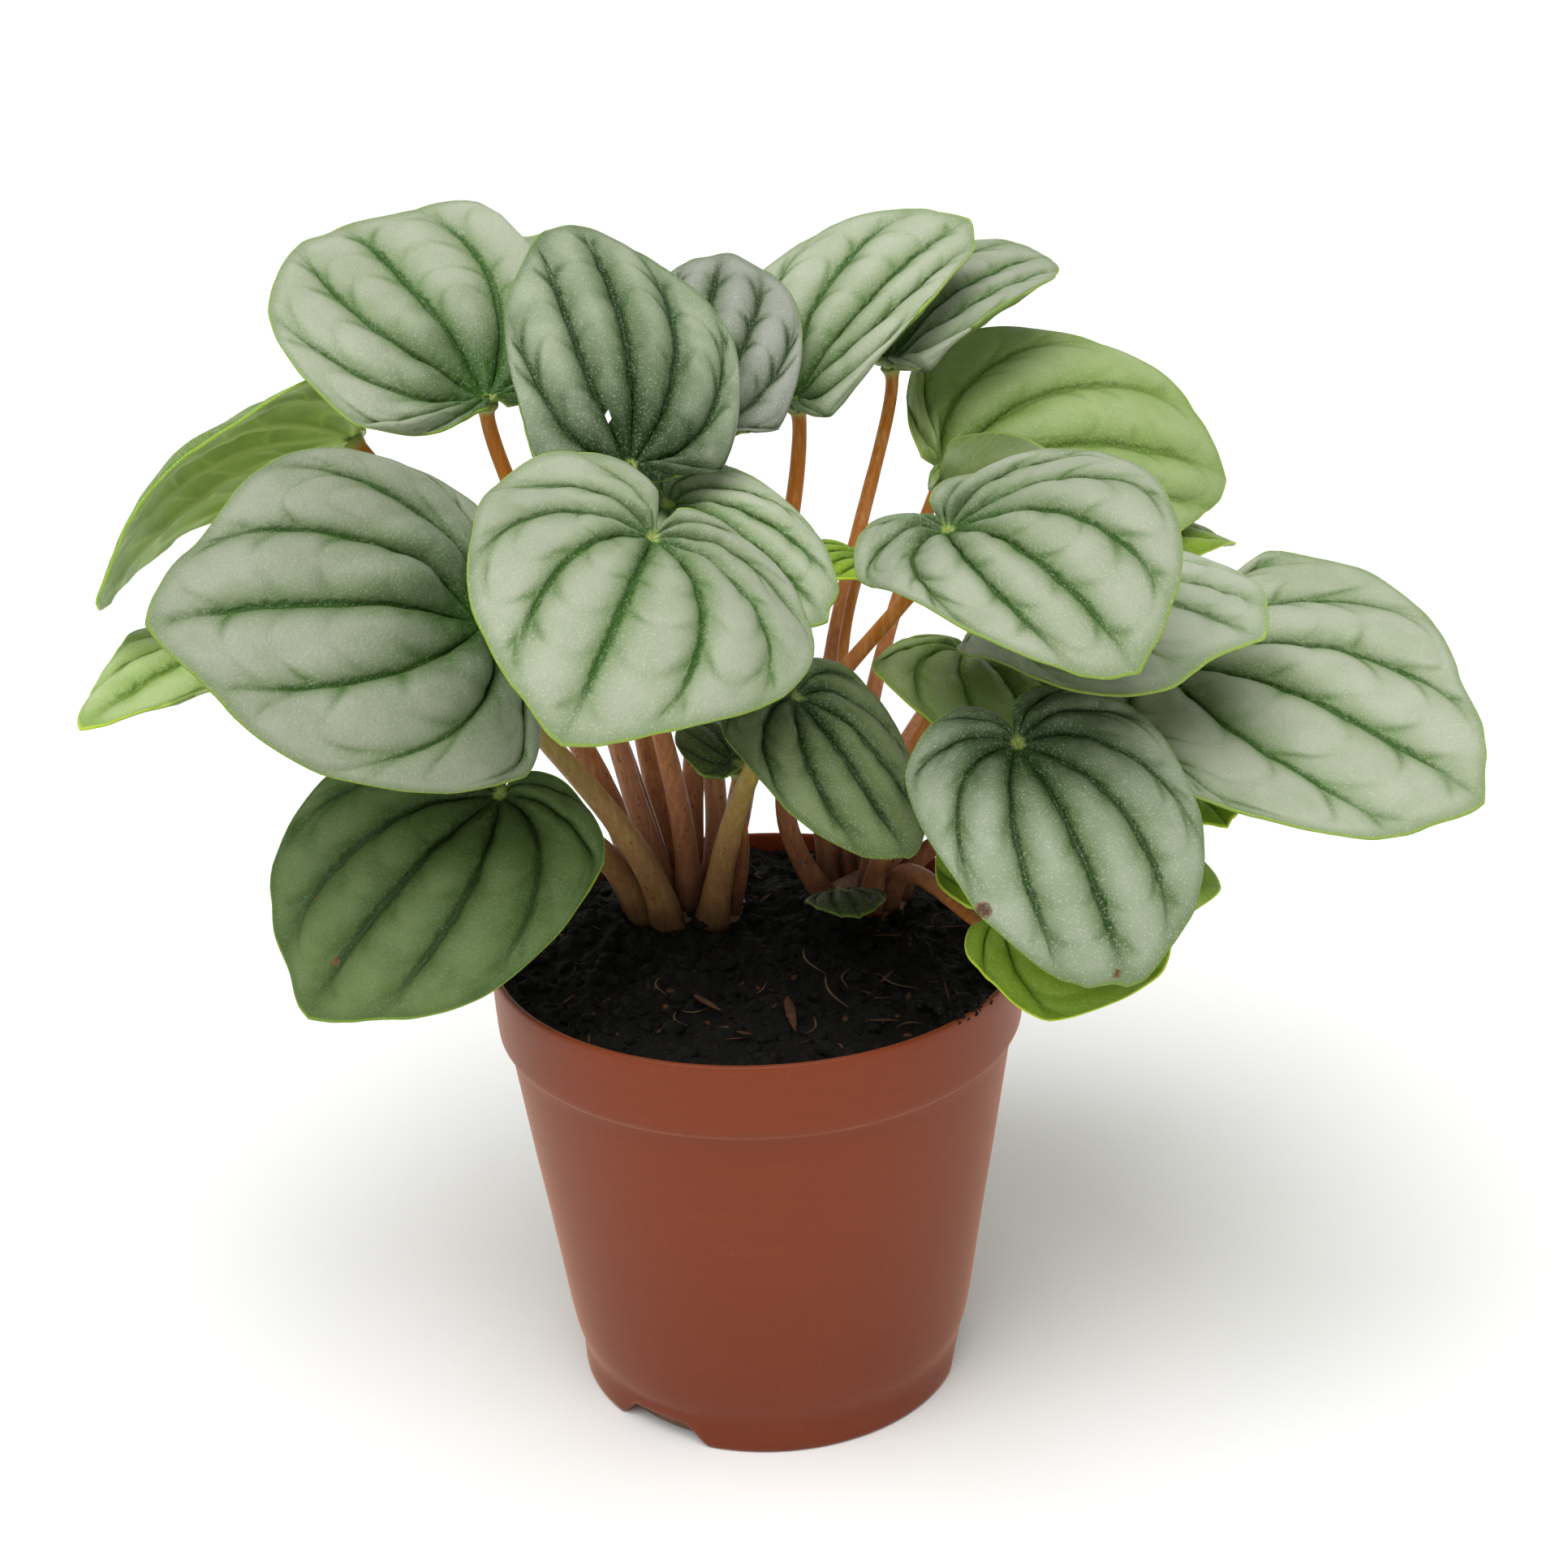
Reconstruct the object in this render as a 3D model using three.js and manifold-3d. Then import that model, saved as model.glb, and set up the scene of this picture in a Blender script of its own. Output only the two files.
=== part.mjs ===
// Potted peperomia: a thin plastic nursery pot filled with peat, two crowns and
// twenty-six heart-shaped leaves, each on its own stalk.
// Millimetres, +Z up. The origin is the middle of the pot's flat foot.
import * as THREE from 'three';
import { mergeVertices } from 'three/addons/utils/BufferGeometryUtils.js';
import Module from 'manifold-3d';

const wasm = await Module();
wasm.setup();

// Driving dimensions
const POT_HEIGHT = 80;
const RIM_RADIUS = 45;
const BAND_RADIUS = 44.4;
const BAND_HEIGHT = 14;
const NECK_RADIUS = 42.9;
const FOOT_TOP_RADIUS = 34.8;
const FOOT_RADIUS = 33;
const FOOT_HEIGHT = 9;
const WALL = 1.1;
const FLOOR = 1.4;
const NOTCH_WIDTH = 16.5;
const NOTCH_HEIGHT = 4;
const NOTCH_INNER_RADIUS = 28;
const NOTCH_AZIMUTHS = [-126, -6, 114];
const DRAIN_WIDTH = 6;
const SOIL_LEVEL = 77.6;
const SOIL_RISE = 3;
const SOIL_GAP = 0.4;
const CLEARANCE = 0.3;
const CROWN_DEPTH = 7;
const POT_SEGMENTS = 54;

const BLADE_THICKNESS = 1.1;
const MARGIN_THICKNESS = 0.8;
const STALK_SIDES = 7;
const STALK_STEPS = 9;

const POT_COLOUR = 0x8f4a33;
const SOIL_COLOUR = 0x17130f;
const CROWN_COLOUR = 0x9a7350;

// Two crowns in the soil: middle of the crown's foot, and its radius
const CROWNS = {
  main: { x: -12, y: 14, z: 80, radius: 11.2 },
  side: { x: 18, y: 15, z: 79, radius: 9.2 },
};

// Every leaf: `at` is where the stalk meets the blade and `tip` its point, in
// millimetres. roll lifts the blade's left side (degrees), left and right are the two
// halves' widths, arch lifts the midrib, droop lowers (or, when negative, raises) the
// sides, lobe is how far the two back lobes reach, bend curves the midrib sideways and
// curl turns one back lobe up. crown, ring and azimuth say where the stalk starts, bow
// pushes the stalk aside and approach is how straight it comes up to the blade. Each of
// the dents moves the margin in or out round one rib: rib, width in ribs, share of the
// reach. Shares are of the blade's length.
const LEAVES = {
  front_centre: { at: [-13, -22, 158], tip: [-25, -61, 141], roll: -28, left: 0.93, right: 0.82, arch: 0.14, droop: 0.12, lobe: 0.75,
    crown: 'main', ring: 4.5, azimuth: -85,
    dents: [[1.5, 0.9, -0.05], [3, 0.7, 0.05], [4.7, 0.5, -0.2], [-4, 0.9, 0.16]] },
  front_left: { at: [-40, -14, 143], tip: [-86, -39, 153], roll: -42, left: 0.84, right: 0.87, arch: 0.08, droop: 0.1, lobe: 0.4,
    crown: 'main', ring: 9, azimuth: -112, approach: 0.22,
    dents: [[-1.3, 0.8, -0.07]] },
  lower_left: { at: [-40, -14, 114], tip: [-69, -38, 88], roll: -25, left: 0.78, right: 0.81, arch: 0.1, droop: 0.12, lobe: 0.5,
    crown: 'main', ring: 9, azimuth: -145 },
  front_right: { at: [41, -30, 126], tip: [54, -60, 99], roll: 10, left: 0.75, right: 0.7, arch: 0.12, droop: 0.1, lobe: 0.6,
    crown: 'side', ring: 7, azimuth: -78 },
  front_small: { at: [8, -17, 130], tip: [24, -36, 110], roll: -4, left: 0.7, right: 0.76, arch: 0.1, droop: 0.1, lobe: 0.7, bend: -0.1,
    crown: 'main', ring: 9, azimuth: -60 },
  right_upper: { at: [32, -10, 154], tip: [57, -46, 143], roll: 18, left: 0.85, right: 0.62, arch: 0.14, droop: -0.04, lobe: 0.65,
    crown: 'side', ring: 7, azimuth: -155, bow: [-12, 0, 0] },
  right_mid: { at: [54, 14, 136], tip: [81, -16, 136], roll: 8, left: 0.66, right: 1.12, arch: 0.03, droop: -0.03, lobe: 0.2,
    crown: 'side', ring: 4, azimuth: 20,
    dents: [[1, 0.9, -0.05], [-1, 0.9, -0.05]] },
  right_far: { at: [70, 18, 121], tip: [116, -20, 109], roll: 14, left: 0.82, right: 0.9, arch: 0.07, droop: -0.1, lobe: 0.2,
    crown: 'side', ring: 4, azimuth: -25,
    dents: [[1.4, 0.9, -0.08], [3.4, 0.8, 0.08]] },
  right_back: { at: [35, 45, 148], tip: [86, 53, 142], roll: 38, left: 0.86, right: 0.55, arch: 0.14, droop: 0.1, lobe: 0.3, curl: [-1, 0.15, 0.1],
    crown: 'side', ring: 7, azimuth: 95, approach: 0.2 },
  top_left: { at: [-41, 24, 169], tip: [-67, 53, 192.5], roll: -8, left: 0.92, right: 1, arch: 0.06, droop: -0.1, lobe: 0.25,
    crown: 'main', ring: 4.5, azimuth: 170, approach: 0.12,
    dents: [[-1.5, 0.6, 0.1], [-2.6, 0.5, -0.06]] },
  top_front: { at: [-17, 4, 162], tip: [-26, 36, 194], roll: 12, left: 0.66, right: 0.68, arch: 0.08, droop: 0.1, lobe: 0.2, bend: -0.04,
    crown: 'main', ring: 4.5, azimuth: -140, bow: [-4, -3, 0],
    dents: [[3.8, 1, -0.27], [-3.8, 1, -0.27]] },
  top_mid_back: { at: [-7, 28, 162], tip: [-2, 54, 185], roll: 0, left: 0.62, right: 0.74, arch: 0.1, droop: 0.1, lobe: 0.3,
    crown: 'main', ring: 4.5, azimuth: 80 },
  top_right: { at: [9, 42, 162], tip: [41, 64, 188], roll: 12, left: 0.7, right: 0.44, arch: 0.05, droop: -0.22, lobe: 0.2,
    crown: 'main', ring: 9, azimuth: 45, approach: 0.1,
    dents: [[-4.2, 1, -0.55], [4, 0.8, 0.12]] },
  top_right_back: { at: [26, 52, 166], tip: [58, 74, 178], roll: 0, left: 0.84, right: 0.5, arch: 0.1, droop: -0.06, lobe: 0.25,
    crown: 'side', ring: 7, azimuth: 135, approach: 0.12,
    dents: [[-4.2, 1, -0.35]] },
  left_back: { at: [-68, 42, 159], tip: [-105, 8, 140], roll: 40, left: 0.76, right: 0.76, arch: 0.16, droop: 0.1, lobe: 0.3,
    crown: 'main', ring: 9, azimuth: 150 },
  left_low: { at: [-78, 22, 124], tip: [-106, -12, 126], roll: -6, left: 0.76, right: 0.6, arch: 0.12, droop: 0.1, lobe: 0.5,
    crown: 'main', ring: 9, azimuth: -175,
    dents: [[-1.2, 0.8, -0.12]] },
  mid_right: { at: [36, 7, 128], tip: [47, -18, 115], roll: -8, left: 0.74, right: 0.93, arch: 0.12, droop: 0.1, lobe: 0.4,
    crown: 'side', ring: 4, azimuth: -75 },
  low_right: { at: [40, -26, 96], tip: [77, -14, 93], roll: 26, left: 0.9, right: 0.84, arch: 0.1, droop: 0.1, lobe: 0.7,
    crown: 'side', ring: 7, azimuth: -48,
    dents: [[-1.1, 0.8, -0.12], [1, 0.6, -0.06]] },
  right_low_small: { at: [65, 12, 104], tip: [77, -9, 102], roll: 0, left: 0.66, right: 0.66, arch: 0.1, droop: 0.1, lobe: 0.6,
    crown: 'side', ring: 7, azimuth: -5 },
  right_back_low: { at: [68, 44, 136], tip: [84, 62, 128], roll: 6, left: 0.8, right: 0.8, arch: 0.1, droop: 0.1, lobe: 0.5,
    crown: 'side', ring: 7, azimuth: 45 },
  centre_back: { at: [-12, 12, 153], tip: [13, -9, 139], roll: 15, left: 0.56, right: 0.8, arch: 0.1, droop: 0.1, lobe: 0.3,
    crown: 'main', ring: 4.5, azimuth: 0,
    dents: [[3.6, 0.8, 0.15]] },
  young: { at: [20, 28, 137], tip: [11, 16, 138], roll: -20, left: 0.6, right: 0.6, arch: 0.1, droop: -0.1, lobe: 0.3,
    crown: 'side', ring: 4, azimuth: 120 },
  dark_small: { at: [-2, -1, 112], tip: [-10, 12, 115], roll: 0, left: 0.7, right: 0.7, arch: 0.1, droop: 0.1, lobe: 0.3,
    crown: 'main', ring: 9, azimuth: -25 },
  soil_leaf: { at: [14, 0, 88], tip: [17, -12, 89], roll: 0, left: 0.8, right: 0.8, arch: 0.1, droop: 0.1, lobe: 0.3,
    crown: 'side', ring: 7, azimuth: -110 },
  back_centre: { at: [-23, 46, 136], tip: [-19, 88, 126], roll: 0, left: 0.9, right: 0.9, arch: 0.1, droop: 0.1, lobe: 0.6,
    crown: 'main', ring: 9, azimuth: 110 },
  back_right: { at: [44, 58, 124], tip: [60, 91, 110], roll: 0, left: 0.85, right: 0.85, arch: 0.1, droop: 0.1, lobe: 0.6,
    crown: 'side', ring: 4, azimuth: 70 },
};

// Colours by leaf: silver green unless it is named here
const SILVER_GREEN = 0x9fb09a;
const LEAF_COLOURS = {
  lower_left: 0x6d8560,
  right_back: 0x8fae6c,
  top_mid_back: 0x9b9fa0,
  left_back: 0x6f8c4e,
  left_low: 0x9dbb7a,
  mid_right: 0x66825a,
  low_right: 0x74965a,
  right_low_small: 0x6a9148,
  right_back_low: 0x7ba356,
  young: 0x96b95c,
  dark_small: 0x5b7552,
  soil_leaf: 0x3f5a34,
};
const STALK_RED = 0xa5683f;
const STALK_TAN = 0xa98c6a;

// Half outline of a leaf in steps from midrib (0) to the notch behind the stalk (5):
// direction in which each rib leaves the stalk, direction of the point that it meets
// on the margin, and that point's distance as a share of the blade's length
const STATION = [0, 1, 2, 3, 4, 4.6, 5];
const START = [0, 45, 85, 122, 150, 160, 164];
const END = [0, 17, 44, 81, 128, 152, 170];
const REACH = [1.0, 0.945, 0.85, 0.66, 0.46, 0.375, 0.25];

const rad = (degrees) => (degrees * Math.PI) / 180;

// Smooth curve through a short list of values (cubic pieces with central slopes)
function through(xs, ys, x) {
  const n = xs.length;
  let i = 0;
  while (i < n - 2 && x >= xs[i + 1]) i += 1;
  const slope = (k) => {
    if (k === 0) return (ys[1] - ys[0]) / (xs[1] - xs[0]);
    if (k === n - 1) return (ys[n - 1] - ys[n - 2]) / (xs[n - 1] - xs[n - 2]);
    const a = xs[k] - xs[k - 1];
    const b = xs[k + 1] - xs[k];
    return ((ys[k + 1] - ys[k]) * a * a + (ys[k] - ys[k - 1]) * b * b) / (a * b * (a + b));
  };
  const h = xs[i + 1] - xs[i];
  const s = (x - xs[i]) / h;
  return (1 + 2 * s) * (1 - s) ** 2 * ys[i] + s * (1 - s) ** 2 * h * slope(i)
    + s * s * (3 - 2 * s) * ys[i + 1] + s * s * (s - 1) * h * slope(i + 1);
}

// Blade frame: origin at the stalk, e to the tip, v to the left, n up through the face
function frameOf(leaf) {
  const at = new THREE.Vector3(...leaf.at);
  const e = new THREE.Vector3(...leaf.tip).sub(at);
  const length = e.length();
  e.normalize();
  const v0 = new THREE.Vector3(0, 0, 1).cross(e).normalize();
  const n0 = e.clone().cross(v0);
  const r = rad(leaf.roll);
  const v = v0.clone().multiplyScalar(Math.cos(r)).addScaledVector(n0, Math.sin(r));
  const n = n0.clone().multiplyScalar(Math.cos(r)).addScaledVector(v0, -Math.sin(r));
  return { at, e, v, n, length };
}

// Point of the blade's middle surface at rib coordinate a (-5..5) and share t outward
function bladePoint(leaf, f, a, t) {
  const k = Math.abs(a);
  const side = a < 0 ? -1 : 1;
  const end = rad(through(STATION, END, k));
  const start = rad(through(STATION, START, k));
  const angle = end + (start - end) * (1 - t ** 1.3);
  let reach = through(STATION, REACH, k) * t * f.length;
  for (const [centre, width, amount] of leaf.dents ?? []) {
    reach *= 1 + amount * t * t * Math.exp(-(((a - centre) / width) ** 2));
  }
  let u = reach * Math.cos(angle);
  const v = side * reach * Math.sin(angle) * (a < 0 ? leaf.right : leaf.left);
  if (u < 0) u *= leaf.lobe;
  const x = u / f.length;
  const bend = (leaf.bend ?? 0) * f.length * (x > 0 ? 4 * x * (1 - x) : x);
  const half = 0.6 * f.length;
  const w = Math.abs(v) / half;
  let h = x < 0 ? -0.3 * f.length * x * x : 4 * leaf.arch * f.length * x * (1 - x);
  h -= leaf.droop * half * w * w;
  const pillow = Math.abs(Math.sin(Math.PI * a)) ** 0.8 * Math.sin(Math.PI * t ** 0.8) ** 0.8;
  h += 0.022 * f.length * pillow * (k > 4 ? 0.5 : 1);
  h += 0.02 * f.length * Math.sin(5 * side * end) * t ** 4 * Math.min(k, 1);
  h -= 0.03 * f.length * Math.exp(-((t / 0.25) ** 2));
  if (leaf.curl && Math.sign(a) === Math.sign(leaf.curl[0])) {
    const g = Math.min(Math.max((k - 3.2) / 1.8, 0), 1) * t;
    h += leaf.curl[1] * f.length * g;
    u += leaf.curl[2] * f.length * g;
  }
  return f.at.clone().addScaledVector(f.e, u).addScaledVector(f.v, v + bend).addScaledVector(f.n, h);
}

function bladeNormal(leaf, f, a, t) {
  const d = 0.02;
  const a0 = Math.max(a - d, -5);
  const a1 = Math.min(a + d, 5);
  const t0 = Math.max(t - d, 0.01);
  const t1 = Math.min(t + d, 1);
  const across = bladePoint(leaf, f, a1, t).sub(bladePoint(leaf, f, a0, t));
  const along = bladePoint(leaf, f, a, t1).sub(bladePoint(leaf, f, a, t0));
  return along.cross(across).normalize();
}

// One blade: a waved sheet of even triangles, alike on both faces, closed round its edge
const RIBS = Array.from({ length: 21 }, (_, i) => -5 + i * 0.5);
const RINGS = [0.24, 0.48, 0.7, 0.87, 1];

function bladeGeometry(leaf) {
  const f = frameOf(leaf);
  const top = [];
  const bottom = [];
  const add = (point, normal, thickness) => {
    top.push(point.clone().addScaledVector(normal, thickness / 2));
    bottom.push(point.clone().addScaledVector(normal, -thickness / 2));
  };
  add(bladePoint(leaf, f, 0, 0), f.n, BLADE_THICKNESS);
  for (const t of RINGS) {
    const thickness = BLADE_THICKNESS + (MARGIN_THICKNESS - BLADE_THICKNESS) * t ** 3;
    for (const a of RIBS) add(bladePoint(leaf, f, a, t), bladeNormal(leaf, f, a, t), thickness);
  }
  const n = RIBS.length;
  const id = (ring, rib) => 1 + ring * n + rib;
  const face = [];
  for (let j = 0; j + 1 < n; j += 1) {
    face.push([0, id(0, j), id(0, j + 1)]);
    for (let i = 0; i + 1 < RINGS.length; i += 1) {
      face.push([id(i, j), id(i + 1, j), id(i + 1, j + 1)]);
      face.push([id(i, j), id(i + 1, j + 1), id(i, j + 1)]);
    }
  }
  const rim = [0];
  for (let i = 0; i < RINGS.length; i += 1) rim.push(id(i, 0));
  for (let j = 1; j < n; j += 1) rim.push(id(RINGS.length - 1, j));
  for (let i = RINGS.length - 2; i >= 0; i -= 1) rim.push(id(i, n - 1));
  const count = top.length;
  const index = [];
  for (const [p, q, r] of face) {
    index.push(p, q, r, count + p, count + r, count + q);
  }
  rim.forEach((p, i) => {
    const q = rim[(i + 1) % rim.length];
    index.push(p, count + p, count + q, p, count + q, q);
  });
  const geometry = new THREE.BufferGeometry();
  geometry.setAttribute('position', new THREE.Float32BufferAttribute(
    [...top, ...bottom].flatMap((p) => [p.x, p.y, p.z]), 3));
  geometry.setIndex(index);
  return geometry;
}

// Height of the crown's dome, and of a stalk's foot standing just clear of it
const domeHeight = (crown, r) => crown.z + (10 - r) * 0.6 + 0.3;
const footHeight = (crown, r) => domeHeight(crown, r) + 1.2;

// Stalk: rises from its foot on the crown and comes to the blade from below
function stalkCurve(leaf) {
  const f = frameOf(leaf);
  const crown = CROWNS[leaf.crown];
  const a = rad(leaf.azimuth);
  const foot = new THREE.Vector3(
    crown.x + leaf.ring * Math.cos(a), crown.y + leaf.ring * Math.sin(a), footHeight(crown, leaf.ring));
  const reach = f.at.distanceTo(foot);
  const lean = (0.35 * leaf.ring) / 9;
  const rise = new THREE.Vector3(lean * Math.cos(a), lean * Math.sin(a), 1).normalize();
  const bow = new THREE.Vector3(...(leaf.bow ?? [0, 0, 0]));
  const top = bladePoint(leaf, f, 0, 0).addScaledVector(f.n, -(BLADE_THICKNESS / 2 + CLEARANCE));
  return new THREE.CubicBezierCurve3(
    foot,
    foot.clone().addScaledVector(rise, 0.4 * reach).add(bow),
    top.clone().addScaledVector(f.n, -(leaf.approach ?? 0.3) * reach).add(bow),
    top,
  );
}

// A tapered tube along a curve, with flat ends
function stalkGeometry(curve, footRadius, topRadius) {
  const frames = curve.computeFrenetFrames(STALK_STEPS, false);
  const points = [];
  for (let i = 0; i <= STALK_STEPS; i += 1) {
    const s = i / STALK_STEPS;
    const centre = curve.getPointAt(s);
    const radius = topRadius + (footRadius - topRadius) * (1 - s) ** 1.5;
    for (let j = 0; j < STALK_SIDES; j += 1) {
      const w = (2 * Math.PI * j) / STALK_SIDES;
      points.push(centre.clone()
        .addScaledVector(frames.normals[i], radius * Math.cos(w))
        .addScaledVector(frames.binormals[i], radius * Math.sin(w)));
    }
  }
  const index = [];
  const id = (i, j) => i * STALK_SIDES + (j % STALK_SIDES);
  for (let i = 0; i < STALK_STEPS; i += 1) {
    for (let j = 0; j < STALK_SIDES; j += 1) {
      index.push(id(i, j), id(i, j + 1), id(i + 1, j + 1), id(i, j), id(i + 1, j + 1), id(i + 1, j));
    }
  }
  for (let j = 1; j + 1 < STALK_SIDES; j += 1) {
    index.push(id(0, 0), id(0, j + 1), id(0, j));
    index.push(id(STALK_STEPS, 0), id(STALK_STEPS, j), id(STALK_STEPS, j + 1));
  }
  const geometry = new THREE.BufferGeometry();
  geometry.setAttribute('position', new THREE.Float32BufferAttribute(points.flatMap((p) => [p.x, p.y, p.z]), 3));
  geometry.setIndex(index);
  return geometry;
}

// Enclosed volume, positive when the faces point out
function volume(geometry) {
  const p = geometry.getAttribute('position');
  const index = geometry.getIndex();
  const [a, b, c] = [new THREE.Vector3(), new THREE.Vector3(), new THREE.Vector3()];
  let sum = 0;
  for (let i = 0; i < index.count; i += 3) {
    a.fromBufferAttribute(p, index.getX(i));
    b.fromBufferAttribute(p, index.getX(i + 1));
    c.fromBufferAttribute(p, index.getX(i + 2));
    sum += a.dot(b.cross(c)) / 6;
  }
  return sum;
}

function outward(geometry) {
  if (volume(geometry) < 0) {
    const array = geometry.getIndex().array;
    for (let i = 0; i < array.length; i += 3) [array[i], array[i + 1]] = [array[i + 1], array[i]];
  }
  return geometry;
}

// Shared vertices, no flat triangles, faces outward
function closed(source) {
  const geometry = source.clone();
  geometry.deleteAttribute('normal');
  geometry.deleteAttribute('uv');
  const merged = mergeVertices(geometry, 1e-3);
  const array = merged.getIndex().array;
  const kept = [];
  for (let i = 0; i < array.length; i += 3) {
    const [p, q, r] = [array[i], array[i + 1], array[i + 2]];
    if (p !== q && q !== r && r !== p) kept.push(p, q, r);
  }
  merged.setIndex(kept);
  return outward(merged);
}

function solid(geometry) {
  const g = closed(geometry);
  return new wasm.Manifold(new wasm.Mesh({
    numProp: 3,
    vertProperties: new Float32Array(g.getAttribute('position').array),
    triVerts: new Uint32Array(g.getIndex().array),
  }));
}

function fromSolid(manifold) {
  const mesh = manifold.getMesh();
  const geometry = new THREE.BufferGeometry();
  geometry.setAttribute('position', new THREE.BufferAttribute(new Float32Array(mesh.vertProperties), 3));
  geometry.setIndex(new THREE.BufferAttribute(new Uint32Array(mesh.triVerts), 1));
  return geometry;
}

// A body turned about the Z axis from [radius, height] pairs
function turned(profile, segments = POT_SEGMENTS) {
  return new THREE.LatheGeometry(profile.map(([r, z]) => new THREE.Vector2(r, z)), segments)
    .rotateX(Math.PI / 2);
}

// A block standing on the foot's edge at an azimuth, from inner radius outward
function edgeBlock(azimuth, inner, width, height, below) {
  return new THREE.BoxGeometry(20, width, height + below)
    .translate(inner + 10, 0, (height - below) / 2)
    .rotateZ(rad(azimuth));
}

// Pot: outer body less inner body, with three notches in the foot that the wall follows
const bandFoot = POT_HEIGHT - BAND_HEIGHT;
const outerProfile = [
  [0, 0], [FOOT_RADIUS, 0], [FOOT_RADIUS + 0.5, 0.6], [FOOT_TOP_RADIUS - 1.1, 7],
  [FOOT_TOP_RADIUS, FOOT_HEIGHT], [NECK_RADIUS, bandFoot], [BAND_RADIUS, bandFoot + 1.2],
  [RIM_RADIUS, POT_HEIGHT], [0, POT_HEIGHT],
];
const innerProfile = (gap) => [
  [0, FLOOR + gap], [FOOT_RADIUS - WALL - gap, FLOOR + gap], [FOOT_TOP_RADIUS - 1.1 - WALL - gap, 7.4 + gap],
  [FOOT_TOP_RADIUS - WALL - gap, FOOT_HEIGHT + 0.6 + gap], [NECK_RADIUS - WALL - gap, bandFoot + gap],
  [BAND_RADIUS - WALL - gap, bandFoot + 1.6 + gap], [RIM_RADIUS - WALL - gap, POT_HEIGHT + 1],
  [0, POT_HEIGHT + 1],
];
let outer = solid(turned(outerProfile));
let inner = solid(turned(innerProfile(0)));
for (const azimuth of NOTCH_AZIMUTHS) {
  outer = outer.subtract(solid(edgeBlock(azimuth, NOTCH_INNER_RADIUS, NOTCH_WIDTH, NOTCH_HEIGHT, 1)));
  inner = inner.subtract(solid(edgeBlock(
    azimuth, NOTCH_INNER_RADIUS - WALL, NOTCH_WIDTH + 2 * WALL, NOTCH_HEIGHT + WALL, 1)));
}
let pot = outer.subtract(inner);
for (const azimuth of NOTCH_AZIMUTHS) {
  const drain = new THREE.BoxGeometry(3, DRAIN_WIDTH, 6)
    .translate(NOTCH_INNER_RADIUS + 2.6, 0, NOTCH_HEIGHT)
    .rotateZ(rad(azimuth));
  pot = pot.subtract(solid(drain));
}

// Soil: fills the pot to just under the rim and rises round the crowns
function soilHeight(x, y) {
  let rise = 0;
  for (const crown of Object.values(CROWNS)) {
    const d = Math.hypot(x - crown.x, y - crown.y);
    rise = Math.max(rise, Math.exp(-((d / 22) ** 2)));
  }
  const edge = Math.min(Math.hypot(x, y) / 43, 1);
  return SOIL_RISE * rise * (1 - edge ** 6) + 0.5 * Math.sin(0.31 * x + 1) * Math.cos(0.27 * y) * (1 - edge ** 8);
}
const soilRings = [41, 36, 30, 24, 18, 12, 6];
const soilWall = innerProfile(SOIL_GAP);
const soilTopRadius = BAND_RADIUS - WALL - SOIL_GAP + (0.6 * (SOIL_LEVEL - bandFoot - 1.6)) / (BAND_HEIGHT - 1.2) - 0.05;
const soilBody = turned([
  ...soilWall.slice(0, 6), [soilTopRadius, SOIL_LEVEL], ...soilRings.map((r) => [r, SOIL_LEVEL]), [0, SOIL_LEVEL],
], 42);
{
  const p = soilBody.getAttribute('position');
  for (let i = 0; i < p.count; i += 1) {
    const [x, y, z] = [p.getX(i), p.getY(i), p.getZ(i)];
    if (z > SOIL_LEVEL - 0.1 && Math.hypot(x, y) < soilTopRadius - 0.5) p.setZ(i, z + soilHeight(x, y));
  }
}
let soil = solid(soilBody);
for (const azimuth of NOTCH_AZIMUTHS) {
  soil = soil.subtract(solid(edgeBlock(
    azimuth, NOTCH_INNER_RADIUS - WALL - SOIL_GAP, NOTCH_WIDTH + 2 * (WALL + SOIL_GAP),
    NOTCH_HEIGHT + WALL + SOIL_GAP, 1)));
}
for (const crown of Object.values(CROWNS)) {
  const hole = new THREE.CylinderGeometry(crown.radius + CLEARANCE, crown.radius + CLEARANCE, 30, 28)
    .rotateX(Math.PI / 2)
    .translate(crown.x, crown.y, crown.z - CROWN_DEPTH - CLEARANCE + 15);
  soil = soil.subtract(solid(hole));
}

// Crown: a low dome of leaf bases standing in its hole in the soil
function crownGeometry(crown) {
  const profile = [[0, crown.z - CROWN_DEPTH], [crown.radius, crown.z - CROWN_DEPTH]];
  profile.push([crown.radius, domeHeight(crown, crown.radius)]);
  for (const share of [0.7, 0.4]) profile.push([crown.radius * share, domeHeight(crown, crown.radius * share)]);
  profile.push([0, domeHeight(crown, 0)]);
  return closed(turned(profile, 28).translate(crown.x, crown.y, 0));
}

function stalkRadii(name, leaf) {
  if (name === 'young' || name === 'dark_small' || name === 'soil_leaf') return [1.1, 0.9];
  if (leaf.crown === 'side') return leaf.ring > 5 ? [1.7, 1.05] : [1.4, 1.05];
  return leaf.ring > 5 ? [2.15, 1.2] : [1.75, 1.2];
}

const plant = new THREE.Group();

function piece(name, geometry, color, roughness) {
  geometry.computeVertexNormals();
  const mesh = new THREE.Mesh(geometry, new THREE.MeshStandardMaterial({ color, roughness, metalness: 0 }));
  mesh.name = name;
  plant.add(mesh);
}

piece('pot', fromSolid(pot), POT_COLOUR, 0.55);
piece('soil', fromSolid(soil), SOIL_COLOUR, 0.95);
piece('crown_main', crownGeometry(CROWNS.main), CROWN_COLOUR, 0.7);
piece('crown_side', crownGeometry(CROWNS.side), CROWN_COLOUR, 0.7);

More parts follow.
